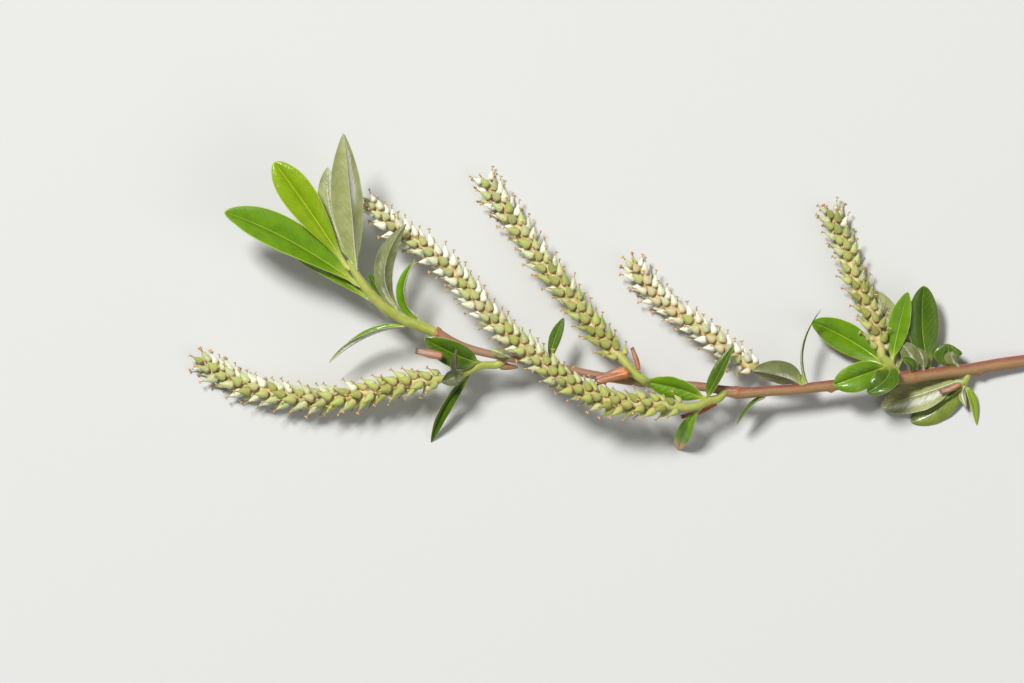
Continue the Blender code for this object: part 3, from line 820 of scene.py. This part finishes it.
def green_stem_finish(tree):
    """Soft green shoot: yellow-green with paler downy streaks and greener flecks."""
    out = placed(tree, STEM, Stretch=0.18)
    body = blend(tree, ramp(tree, out["Patches"], 0.3, 0.7), (0.300, 0.350, 0.050), (0.450, 0.480, 0.105))
    body = blend(tree, ramp(tree, out["Streaks"], 0.52, 0.75), body, (0.62, 0.63, 0.28), 0.55)
    body = blend(tree, ramp(tree, out["Streaks"], 0.42, 0.28), body, (0.21, 0.26, 0.035), 0.5)
    return (blend(tree, attribute(tree, "rim"), body, (0.40, 0.26, 0.06)), 0.48,
            bump(tree, maths(tree, "ADD", out["Streaks"], out["Fine"]), 0.6, 0.00008))


BARK = new_material("bark", bark_finish, Specular_IOR_Level=0.45, Sheen_Weight=0.10,
                    Sheen_Roughness=0.4)
GREEN_STEM = new_material("green_stem", green_stem_finish, Sheen_Weight=0.3, Sheen_Roughness=0.4,
                          Sheen_Tint=(0.95, 0.97, 0.85, 1.0), Specular_IOR_Level=0.4,
                          Subsurface_Weight=0.08, Subsurface_Scale=0.0006,
                          Subsurface_Radius=(0.6, 1.0, 0.25))


def hump(spots, where, width):
    """A smooth bump of height 1 at `where` along a stem."""
    return np.exp(-((spots - where) / width) ** 2)


def leaf_root_on(path, spots, leaf):
    """Where a leaf leaves a stem: its place along, its direction out, and its bulge there."""
    midrib, _, _, reach = STATIONS[leaf]
    near = np.linalg.norm(path - midrib[0], axis=1).argmin()
    return spots[near], unit(midrib[0] - path[near]), min(0.06 + 0.04 * reach.max(), 0.18)


def rings_round(path, columns):
    """Tangents along a path, angles round it, and the unit vectors out from it at those angles."""
    tangents, sides, ups = section_frames(path)
    angles = np.linspace(0, TAU, columns, endpoint=False)
    ring = np.cos(angles)[None, :, None] * sides[:, None] - np.sin(angles)[None, :, None] * ups[:, None]
    return tangents, angles, ring


def straightened(angles, radii, spots):
    """The grain attribute: each point's place on the stem laid straight, in millimetres."""
    radii, spots = radii[:, None], spots[:, None]
    return np.stack((np.cos(angles) * radii, np.sin(angles) * radii, spots + 0 * angles), axis=-1)


def stem_surface(path, radii, spots, shape, seed, columns=STEM_COLUMNS, ridge=0.022):
    """Grid and attributes of a stem: a circle of the given radius carried along its path, times
    a shape of place along and angle round, with shallow random ridges."""
    tangents, angles, ring = rings_round(path, columns)
    ridges = hills((len(path), columns), seed, (max(4, len(path) // 8), 10))
    grown = radii[:, None] * (1 + ridge * ridges + shape(spots[:, None], ring))
    grid = path[:, None] + grown[..., None] * ring
    attributes = {"grain": straightened(angles, radii, spots), "sunny": 0.5 + 0.5 * ring[..., 1]}
    return grid, attributes, tangents


def make_stem(name, bark=False, overrun=0.0):
    """One side stem: flared where it leaves its parent, swollen under each leaf it carries, and
    either run on past its end by `overrun` millimetres, into what it carries, or drawn in to a
    blunt tip."""
    path, radii, spots = FINE_STEMS[name]
    if overrun:
        extra = np.linspace(0, 1, 6)[1:, None]
        path = np.concatenate((path, path[-1] + unit(path[-1] - path[-4]) * overrun * extra))
        radii = np.concatenate((radii, radii[-3] * (1 - 0.35 * extra[:, 0] ** 2)))
        spots = lengths_along(path)
        radii = np.minimum(radii, 1.06 * np.interp(3.0, spots, radii))
    else:
        radii = radii * np.sqrt(np.clip((spots[-1] + 0.05 - spots) / 2.4, 0.02, 1))
    seed = sum(map(ord, name))
    flare = 0.08 if overrun else -0.12
    leaves = [leaf_root_on(path, spots, leaf) for leaf, stem in LEAF_STEM.items() if stem == name]

    def shape(along, ring):
        bulges = sum((size * np.clip((ring * side).sum(axis=-1), 0, 1) ** 3 * hump(along, where - 0.3, 0.9)
                      for where, side, size in leaves), 0.0 * ring[..., 0])
        return flare * np.exp(-(along / 1.2) ** 2) + np.clip(bulges, 0, 0.09)

    grid, attributes, tangents = stem_surface(path, radii, spots, shape, seed, ridge=0.03)
    rims = sum((hump(spots, where - 0.8, 0.25) for where, _, _ in leaves), 0 * spots)
    attributes["rim"] = np.clip(0.18 * rims, 0, 0.3)[:, None] + 0 * grid[..., 0]
    attributes["grey"] = 0 * grid[..., 0]
    looks = ("bark", BARK) if bark else ("green_stem", GREEN_STEM)
    tip = path[-1] + tangents[-1] * radii[-1] * 0.3
    closed_surface(name + "_skin", name, grid, (path[0], tip), looks[1:], attributes)


def make_main_twig():
    """The brown twig: swollen at each node with a ragged rim, a leaf scar bump under two of them,
    a wide collar where it ends, and a plain cut at the other end."""
    path, radii, spots = FINE_STEMS["main_twig"]
    nodes = [(spot_at("stalk_e") - 2.2, 0.12), (spot_at("stalk_b") - 1.9, 0.16),
             (spot_at("stalk_c") - 0.5, 0.10), (spot_at("spur_a") - 0.5, 0.08)]
    scars = [(spot_at("stalk_d") - 4.4, 0.40), (spot_at("stalk_f") - 1.6, 0.36)]
    end = spots[-1]

    def shape(along, ring):
        ragged = 0.25 * np.sin(7 * np.arctan2(ring[..., 2], ring[..., 1]))
        total = 0.22 * hump(along, end - 0.35 + ragged, 0.35) + 0.05 * hump(along, end - 1.5, 1.2)
        for where, height in nodes:
            total = total + height * hump(along, where + ragged, 0.35) + 0.08 * hump(along, where + 1.0, 1.3)
        low_side = np.clip(-ring[..., 1], 0, 1) ** 6
        for where, height in scars:
            total = total + height * hump(along, where, 0.55) * low_side
        return total

    grid, attributes, tangents = stem_surface(path, radii, spots, shape, 11, TWIG_COLUMNS, 0.012)
    ragged = 0.25 * np.sin(7 * np.linspace(0, TAU, TWIG_COLUMNS, endpoint=False))[None]
    along = spots[:, None] + ragged
    rim = sum(hump(along, where, 0.28) for where, _ in nodes[:2]) + hump(along, end - 0.35, 0.4)
    scar = sum(hump(spots[:, None], where, 0.5) * np.clip(1 - 2 * attributes["sunny"], 0, 1) ** 4
               for where, _ in scars)
    attributes["rim"] = np.clip(0.8 * rim + scar, 0, 1)
    attributes["grey"] = np.clip((spots / end - 0.45) / 0.2, 0, 1)[:, None] + 0 * grid[..., 0]
    ends = (path[0] - tangents[0] * 0.05, path[-1] + tangents[-1] * 0.1)
    closed_surface("main_twig_skin", "main_twig", grid, ends, [BARK], attributes)


def spot_at(stalk):
    """Where a side stem leaves the twig, as a distance along the twig."""
    path, _, spots = FINE_STEMS["main_twig"]
    return spots[np.linalg.norm(path - FINE_STEMS[stalk][0][0], axis=1).argmin()]


# ================================================================ bud scales

def scale_finish(name, foot, body_tone):
    """Dry bud scale: brighter at its rounded foot, duller towards its torn dark
    end, streaked lengthways with dark and pinkish grey."""
    def finish(tree):
        out = placed(tree, STEM, Stretch=0.10)
        length = attribute(tree, "length")
        body = blend(tree, ramp(tree, length, 0.12, 0.50), foot, body_tone)
        body = blend(tree, ramp(tree, out["Streaks"], 0.54, 0.40), body, (0.170, 0.055, 0.034), 0.60)
        pale = maths(tree, "MULTIPLY", ramp(tree, out["Fine"], 0.5, 0.75), ramp(tree, length, 0.1, 0.8))
        body = blend(tree, pale, body, (0.60, 0.42, 0.34), 0.6)
        return (blend(tree, ramp(tree, length, 0.90, 1.0), body, (0.12, 0.062, 0.050)), 0.42,
                bump(tree, out["Streaks"], 0.9, 0.00014))

    return new_material(name, finish, Specular_IOR_Level=0.5, Coat_Weight=0.10, Coat_Roughness=0.3)


SCALE_FINISHES = {
    "scale_orange": scale_finish("scale_orange", (0.64, 0.230, 0.060), (0.47, 0.190, 0.095)),
    "scale_pink": scale_finish("scale_pink", (0.56, 0.240, 0.120), (0.47, 0.250, 0.165)),
}


def make_bud_scale(name):
    """A papery cap: a ridged tube along the CAD scale with a groove along its top, rounded off at
    its right end and torn open at the other, where the wall turns in over a ragged rim."""
    finish, fullness = SCALE_LOOKS[name]
    path, radii, spots = even_tube(*tube_of(name), SCALE_STEP)
    if path[0][0] > path[-1][0]:
        path, radii = path[::-1], radii[::-1]
    seed = sum(map(ord, name)) * 3
    tangents, angles, ring = rings_round(path, SCALE_COLUMNS)
    left = (spots[-1] - spots) / radii.max()
    dome = np.sqrt(np.clip(1 - np.clip(1 - left / 0.9, 0, 1) ** 2, 0, 1))[:, None]
    crease = (0.05 * np.cos(3 * angles + seed) + 0.025 * np.cos(11 * angles + seed))[None]
    crease = crease + 0.06 * hills(ring.shape[:2], seed, (5, 9))
    groove = 0.20 * np.clip(ring[..., 2], 0, 1) ** 14 * np.clip(3 * dome - 2, 0, 1)
    wall = radii[:, None] * fullness * (1 + crease - groove) * (0.06 + 0.94 * dome)
    outside = path[:, None] + wall[..., None] * ring
    ragged = 0.20 * np.cos(5 * angles + seed) + 0.12 * np.cos(9 * angles)
    near_rim = np.exp(-spots / 0.5)[:, None, None]
    outside = outside - near_rim * tangents[0] * ragged[None, :, None]
    deep = np.linspace(1, 0, 5)[:-1]
    hollow = [outside[0] + tangents[0] * depth * radii[0] * 1.6
              - ring[0] * radii[0] * (0.16 + 0.5 * depth) for depth in deep]
    grid = np.concatenate((np.array(hollow), outside))
    run = np.concatenate((np.zeros(len(hollow)), spots))
    attributes = {"grain": straightened(angles, np.ones(len(run)), run),
                  "length": 1 - run[:, None] / run[-1] + 0 * angles}
    ends = (path[0] + tangents[0] * radii[0] * 1.7, path[-1] + tangents[-1] * 0.03)
    closed_surface(name + "_cap", name, grid, ends, [SCALE_FINISHES[finish]], attributes)


# ================================================================ catkins

def pod_finish(tree):
    """Seed pod: yellow-green, cream towards its foot and tan at its neck, under silvery hairs
    that whiten it in streaks, by the pod's own share of silk, raised as a painted sheen on the catkin's
    flanks."""
    place = attribute(tree, "grain", "Vector")
    silk_and_sheen, along, tone = (attribute(tree, label) for label in ("silk_and_sheen", "length", "tone"))
    body = blend(tree, ramp(tree, tone, 0.0, 0.8), (0.250, 0.280, 0.045), (0.450, 0.500, 0.115))
    body = blend(tree, ramp(tree, tone, 0.85, 1.20), body, (0.640, 0.540, 0.280))
    body = blend(tree, ramp(tree, along, 0.42, 0.05), body, (0.66, 0.56, 0.22))
    body = blend(tree, ramp(tree, along, 0.72, 1.0), body, (0.46, 0.36, 0.11))
    streak = noise(tree, scaled(tree, place, (6.0, 6.0, 0.6)), 1.7, 3.0, 0.6)
    hairs = maths(tree, "MULTIPLY_ADD", silk_and_sheen, 0.62, maths(tree, "ADD", streak, -0.30))
    hairs = maths(tree, "MULTIPLY", ramp(tree, hairs, 0.36, 0.78), ramp(tree, along, 1.0, 0.85))
    grain = noise(tree, scaled(tree, place, (4.0, 4.0, 1.0)), 2.4, 4.0)
    return blend(tree, hairs, body, (0.88, 0.88, 0.74), 0.94), 0.50, bump(tree, grain, 0.6, 0.00008)


def rachis_finish(tree):
    """The catkin's axis: green as its stalk at the base, then cream with tan flecks."""
    spot = tree.nodes.new("ShaderNodeTexCoord").outputs["Object"]
    flecks = ramp(tree, noise(tree, spot, 900.0, 3.0), 0.35, 0.65)
    body = blend(tree, flecks, (0.46, 0.36, 0.12), (0.68, 0.55, 0.24))
    return (blend(tree, ramp(tree, attribute(tree, "length"), 0.14, 0.04), body, (0.42, 0.44, 0.10)),
            0.55, bump(tree, noise(tree, spot, 1800.0, 2.0), 0.5, 0.00006))


def small_finish(name, dark, light, scale, roughness, **constants):
    """A small part's finish: two colours mixed by fine noise, with a matching bump."""
    def finish(tree):
        spot = tree.nodes.new("ShaderNodeTexCoord").outputs["Object"]
        flecks = ramp(tree, noise(tree, spot, scale, 3.0), 0.35, 0.65)
        grain = noise(tree, spot, scale * 2, 2.0)
        return blend(tree, flecks, dark, light), roughness, bump(tree, grain, 0.4, 0.00005)

    return new_material(name, finish, **constants)


POD = new_material("pod", pod_finish, Sheen_Weight=0.35, Sheen_Roughness=0.35,
                   Sheen_Tint=(0.97, 0.98, 0.88, 1.0), Specular_IOR_Level=0.4,
                   Subsurface_Weight=0.08, Subsurface_Scale=0.0006,
                   Subsurface_Radius=(0.6, 1.0, 0.25))
STYLE = small_finish("style", (0.40, 0.215, 0.060), (0.58, 0.37, 0.13), 1500.0, 0.45)
STIGMA = small_finish("stigma", (0.52, 0.30, 0.110), (0.76, 0.54, 0.26), 2500.0, 0.5)
BRACT = small_finish("bract", (0.160, 0.060, 0.034), (0.46, 0.26, 0.13), 1200.0, 0.5, Sheen_Weight=0.15)
NECTARY = small_finish("nectary", (0.58, 0.43, 0.15), (0.74, 0.60, 0.27), 1500.0, 0.4)
HAIR = small_finish("silky_hair", (0.74, 0.74, 0.64), (0.88, 0.88, 0.80), 900.0, 0.4, Sheen_Weight=0.5)
RACHIS = new_material("rachis", rachis_finish, Sheen_Weight=0.2, Sheen_Roughness=0.4)


def spindle(profile, sides):
    """A small closed shape about +Z, through the (height, radius) points of a profile that
    starts and ends on the axis. Returns its points and its faces, quads and triangles."""
    heights, radii = np.transpose(profile)
    angles = np.linspace(0, TAU, sides, endpoint=False)
    rings = np.stack((np.outer(radii, np.cos(angles)), np.outer(radii, np.sin(angles)),
                      heights[:, None] + 0 * angles), axis=-1)[1:-1]
    points = np.concatenate((*rings, [(0, 0, heights[0]), (0, 0, heights[-1])]))
    return (points, *skin_faces(len(rings), sides))


def many(name, part, shape, points, material, attributes=None):
    """A catkin's small parts of one kind, as one piece: copies of a small shape, with `points`
    as copies x points x 3."""
    copies, each, _ = points.shape
    _, quads, triangles = shape
    offset = (np.arange(copies) * each)[:, None, None]
    faces = (quads + offset).reshape(-1, 4).tolist() + (triangles + offset).reshape(-1, 3).tolist()
    add_piece(f"{name}_{part}", name, points, faces, [material], attributes or {},
              LOWEST_SMALL)


def set_out(shape, origins, axes, sides, widths, lengths):
    """Copies of a shape: its x goes along `sides`, its z along `axes` and its y square to both,
    scaled across by `widths` and along by `lengths`, from each origin."""
    outs = unit(np.cross(axes, sides))
    widths, lengths = (np.broadcast_to(sizes, len(origins))[:, None, None] for sizes in (widths, lengths))
    x, y, z = (shape[None, :, k, None] for k in range(3))
    return origins[:, None] + (x * sides[:, None] + y * outs[:, None]) * widths + z * axes[:, None] * lengths


POD_PROFILE = ((0.0, 0.0), (0.03, 0.48), (0.13, 0.90), (0.27, 1.0), (0.45, 0.86),
               (0.63, 0.58), (0.80, 0.32), (0.95, 0.16), (1.0, 0.0))
POD_SHAPE = spindle(POD_PROFILE, 8)
STYLE_SHAPE = spindle(((0.0, 0.0), (0.0, 1.15), (0.5, 0.75), (1.0, 0.85), (1.05, 0.0)), 5)
LOBE_SHAPE = spindle(((0.0, 0.0), (0.10, 0.9), (0.6, 1.15), (0.9, 0.8), (1.0, 0.0)), 5)
BRACT_SHAPE = spindle(((0.0, 0.0), (0.1, 0.6), (0.45, 1.0), (0.8, 0.75), (1.0, 0.0)), 6)
BEAD_SHAPE = spindle(((0.0, 0.0), (0.2, 0.8), (0.6, 0.9), (1.0, 0.0)), 5)
HAIR_SHAPE = spindle(((0.0, 0.0), (0.15, 1.0), (1.0, 0.0)), 3)


def make_catkin(name):
    """A catkin: an axis, and round it a golden-angle spiral of pods that lean forwards, each
    with a bract under it, a nectary at its foot, a style with two stigma lobes, and hairs."""
    stalk = "stalk_" + name[-1]
    path, radii = tube_of(name)
    if distance_to((stalk,), path[0]) > distance_to((stalk,), path[-1]):
        path, radii = path[::-1], radii[::-1]
    path = np.concatenate((FINE_STEMS[stalk][0][-1:], path[2:]))
    path, _, spots = even_tube(path, radii[1:], CATKIN_STEP)
    silk_low, silk_high, tone, pod_size, trim = CATKIN_LOOKS[name]
    length = spots[-1] - trim
    rng = np.random.default_rng(sum(map(ord, name)))
    count = int((length - 1.4) / POD_SPACING)
    order = np.arange(count)
    where = 1.0 + (length - 1.6) * ((order + 0.5) / count) ** 0.93 + rng.uniform(-0.07, 0.07, count)
    places = where / length
    tangents, sides, ups = section_frames(path)

    centres, forward, side, up = (read_at(where, spots, rows) for rows in (path, tangents, sides, ups))
    forward, side, up = unit(forward), unit(side), unit(up)
    turn = order * GOLDEN_TURN + rng.uniform(-0.14, 0.14, count)
    out = side * np.cos(turn)[:, None] + up * np.sin(turn)[:, None]
    cross = np.cross(forward, out)
    grown = np.clip(0.72 + 3.0 * places, 0, 1) * np.clip(0.66 + 3.4 * (1 - places), 0, 1)
    grown = grown * rng.uniform(0.92, 1.08, count) * pod_size
    lean = rng.uniform(39, 51, count) - 20 * np.clip((places - 0.90) / 0.10, 0, 1)
    lean = np.radians(lean)
    axis = unit(forward * np.cos(lean)[:, None] + out * np.sin(lean)[:, None]
                + cross * rng.uniform(-0.12, 0.12, count)[:, None])
    span = POD_LENGTH * grown + STYLE_LENGTH + 0.3
    low = (0.35 - centres[:, 2] - out[:, 2] * RACHIS_RADIUS) / span
    axis = unit(axis * (1, 1, 0) + UP * np.maximum(axis[:, 2], low)[:, None])
    back = unit(np.cross(axis, cross))
    silk_and_sheen = silk_low + (silk_high - silk_low) * np.clip((places - 0.15) / 0.6, 0, 1)
    tone = tone + 0.30 * (silk_and_sheen - 0.5)
    # painted sheen: pods on the catkin's flanks get more whitening silk and those facing up less, as if the
    # hairs caught the light edge-on
    flank_sheen = 1 - np.abs(out @ UP)
    silk_and_sheen = np.clip(silk_and_sheen * (0.45 + 0.95 * flank_sheen ** 1.5) + rng.uniform(-0.16, 0.16, count), 0, 1)
    foot = centres + out * (RACHIS_RADIUS * 0.95)
    sizes = POD_LENGTH * grown
    widths = POD_RADIUS * grown * rng.uniform(0.92, 1.08, count)

    shape = POD_SHAPE[0]
    points = set_out(shape, foot, axis, cross, widths, sizes)
    points = points + (shape[None, :, 2, None] ** 2) * forward[:, None] * (POD_CURVE * sizes)[:, None, None]
    grain = (shape * (1, 1, 2))[None] + (order[:, None, None] * np.array((3.1, 1.7, 2.3)))
    ones = np.ones((count, len(shape)))
    tones = np.clip(tone + rng.uniform(-0.35, 0.35, count), 0, 1.25)
    many(name, "pods", POD_SHAPE, points, POD,
         {"grain": grain, "length": shape[None, :, 2] * ones, "silk_and_sheen": silk_and_sheen[:, None] * ones,
          "tone": tones[:, None] * ones})

    tip_axis = unit(axis + out * 0.15)
    neck = foot + axis * (sizes * 0.95)[:, None] + forward * (POD_CURVE * sizes * 0.92)[:, None]
    style_long = STYLE_LENGTH * rng.uniform(0.8, 1.2, count)
    styles = set_out(STYLE_SHAPE[0], neck, tip_axis, cross, STYLE_RADIUS, style_long)
    many(name, "styles", STYLE_SHAPE, styles, STYLE)
    head = neck + tip_axis * (style_long * 0.94)[:, None]
    spin = rng.uniform(0, TAU, count)[:, None]
    across_tip = cross * np.cos(spin) + unit(np.cross(tip_axis, cross)) * np.sin(spin)
    lobe_axes = [unit(tip_axis * 0.45 + across_tip * way) for way in (-1, 1)]
    lobes = [set_out(LOBE_SHAPE[0], head, lobe_axis, unit(np.cross(lobe_axis, tip_axis)),
                     STYLE_RADIUS * 1.3, LOBE_LENGTH) for lobe_axis in lobe_axes]
    many(name, "stigmas", LOBE_SHAPE, np.concatenate(lobes), STIGMA)

    bract_foot = foot - forward * (0.42 * grown)[:, None] - out * 0.05
    bracts = set_out(BRACT_SHAPE[0] * (1.0, 0.40, 1.0), bract_foot, unit(axis * 0.8 + out * 0.6), cross,
                     0.36 * grown, 1.05 * grown)
    many(name, "bracts", BRACT_SHAPE, bracts, BRACT)
    beads = set_out(BEAD_SHAPE[0], foot + forward * 0.30 + out * 0.15, unit(out + forward * 0.9), cross,
                    0.40 * grown, 1.20 * grown)
    many(name, "nectaries", BEAD_SHAPE, beads, NECTARY)
    make_hairs(name, foot, axis, forward, cross, back, sizes, widths, silk_and_sheen, rng)
    make_rachis(name, path, spots, length)


def make_hairs(name, foot, axis, forward, cross, back, sizes, widths, silk_and_sheen, rng):
    """Silky hairs on the pods: thin spikes that start on a pod's skin and lie forwards along it,
    longer on a silkier pod."""
    pick = np.repeat(np.arange(len(foot)), HAIRS_PER_POD)
    count = len(pick)
    place = rng.uniform(0.10, 0.75, count)
    angle = rng.uniform(0, TAU, count)
    belly = np.interp(place, *np.transpose(POD_PROFILE))
    away = cross[pick] * np.cos(angle)[:, None] + back[pick] * np.sin(angle)[:, None]
    root = (foot[pick] + axis[pick] * (place * sizes[pick])[:, None]
            + forward[pick] * (POD_CURVE * sizes[pick] * place ** 2)[:, None]
            + away * (belly * widths[pick] * 0.93)[:, None])
    lie = unit(axis[pick] + away * rng.uniform(0.2, 0.7, count)[:, None])
    first = unit(np.cross(lie, forward[pick] + 0.01))
    long = rng.uniform(0.35, 0.65, count) * (0.25 + 0.75 * silk_and_sheen[pick])
    points = set_out(HAIR_SHAPE[0], root, lie, first, HAIR_RADIUS, long)
    many(name, "hairs", HAIR_SHAPE, points, HAIR)


def make_rachis(name, path, spots, length):
    """The catkin's axis: a thin bumpy tube, run back into its stalk and narrowing to its tip."""
    stalk_path, stalk_radii, _ = FINE_STEMS["stalk_" + name[-1]]
    path = np.concatenate((stalk_path[-6:-1], path[spots < length - 0.7]))
    spots = lengths_along(path)
    places = spots / spots[-1]
    stalk = stalk_radii[-3]
    girths = (0.7 * stalk, 0.97 * stalk, 1.01 * stalk, RACHIS_RADIUS)
    thickness = np.interp(spots, (0, 0.6, 1.6, 3.5), girths)
    thickness = thickness * np.interp(places, (0, 0.8, 1), (1, 0.9, 0.4))

    def shape(along, ring):
        rough = np.clip(along / 2.5 - 0.8, 0, 1)
        return 0.10 * rough * np.sin(along * 9.0 + 2 * ring[..., 0])

    grid, _, tangents = stem_surface(path, thickness, spots, shape, 5, RACHIS_COLUMNS)
    ends = (path[0], path[-1] + tangents[-1] * 0.1)
    attributes = {"length": places[:, None] + 0 * grid[..., 0]}
    closed_surface(name + "_rachis", name, grid, ends, [RACHIS], attributes)


# ================================================================ stage

def make_floor():
    """A pale matte floor, large enough for every view."""
    mesh = bpy.data.meshes.new("floor")
    corners = [(x * FLOOR_HALF, y * FLOOR_HALF, 0) for x, y in ((-1, -1), (1, -1), (1, 1), (-1, 1))]
    mesh.from_pydata(corners, [], [(0, 1, 2, 3)])
    mesh.materials.append(new_material("floor", lambda tree: ((0.63, 0.63, 0.61, 1.0), 0.9)))
    floor = bpy.data.objects.new("floor", mesh)
    bpy.context.collection.objects.link(floor)


def add_light(name, place, size, power):
    """A square soft light at a place, turned to the origin."""
    light = bpy.data.lights.new(name, "AREA")
    light.shape = "SQUARE"
    light.size = size
    light.energy = power
    lamp = bpy.data.objects.new(name, light)
    lamp.location = place
    lamp.rotation_euler = (-Vector(place)).to_track_quat("-Z", "Y").to_euler()
    bpy.context.collection.objects.link(lamp)


def make_stage():
    """Floor, soft lights, pale surroundings, and the camera looking straight down."""
    make_floor()
    world = bpy.data.worlds.new("studio")
    world.use_nodes = True
    background = world.node_tree.nodes["Background"]
    background.inputs["Color"].default_value = (0.97, 0.98, 1.0, 1.0)
    background.inputs["Strength"].default_value = SURROUNDINGS
    bpy.context.scene.world = world
    bpy.context.scene.view_settings.view_transform = "Standard"
    for light in LIGHTS:
        add_light(*light)
    _, high = cad_box
    camera = bpy.data.cameras.new("camera")
    camera.sensor_width = SENSOR * 1000
    camera.lens = SENSOR * 1000 * CAMERA_DISTANCE / VIEW_WIDTH
    camera.clip_start, camera.clip_end = NEAREST, FARTHEST
    eye = bpy.data.objects.new("camera", camera)
    eye.location = (high[0] - CUT_END_OUTSIDE - VIEW_WIDTH / 2,
                    high[1] + ROOM_ABOVE - VIEW_WIDTH * VIEW_SHAPE / 2, SHARP_HEIGHT + CAMERA_DISTANCE)
    bpy.context.collection.objects.link(eye)
    bpy.context.scene.camera = eye


make_stage()
make_main_twig()
make_stem("spur_a", bark=True)
make_stem("tip_shoot")
for letter in "abcdef":
    make_stem("stalk_" + letter, overrun=STALK_OVERRUN)
for scale_name in SCALE_LOOKS:
    make_bud_scale(scale_name)
for leaf_name in LEAF_LOOKS:
    make_leaf(leaf_name)
for catkin_name in CATKIN_LOOKS:
    make_catkin(catkin_name)
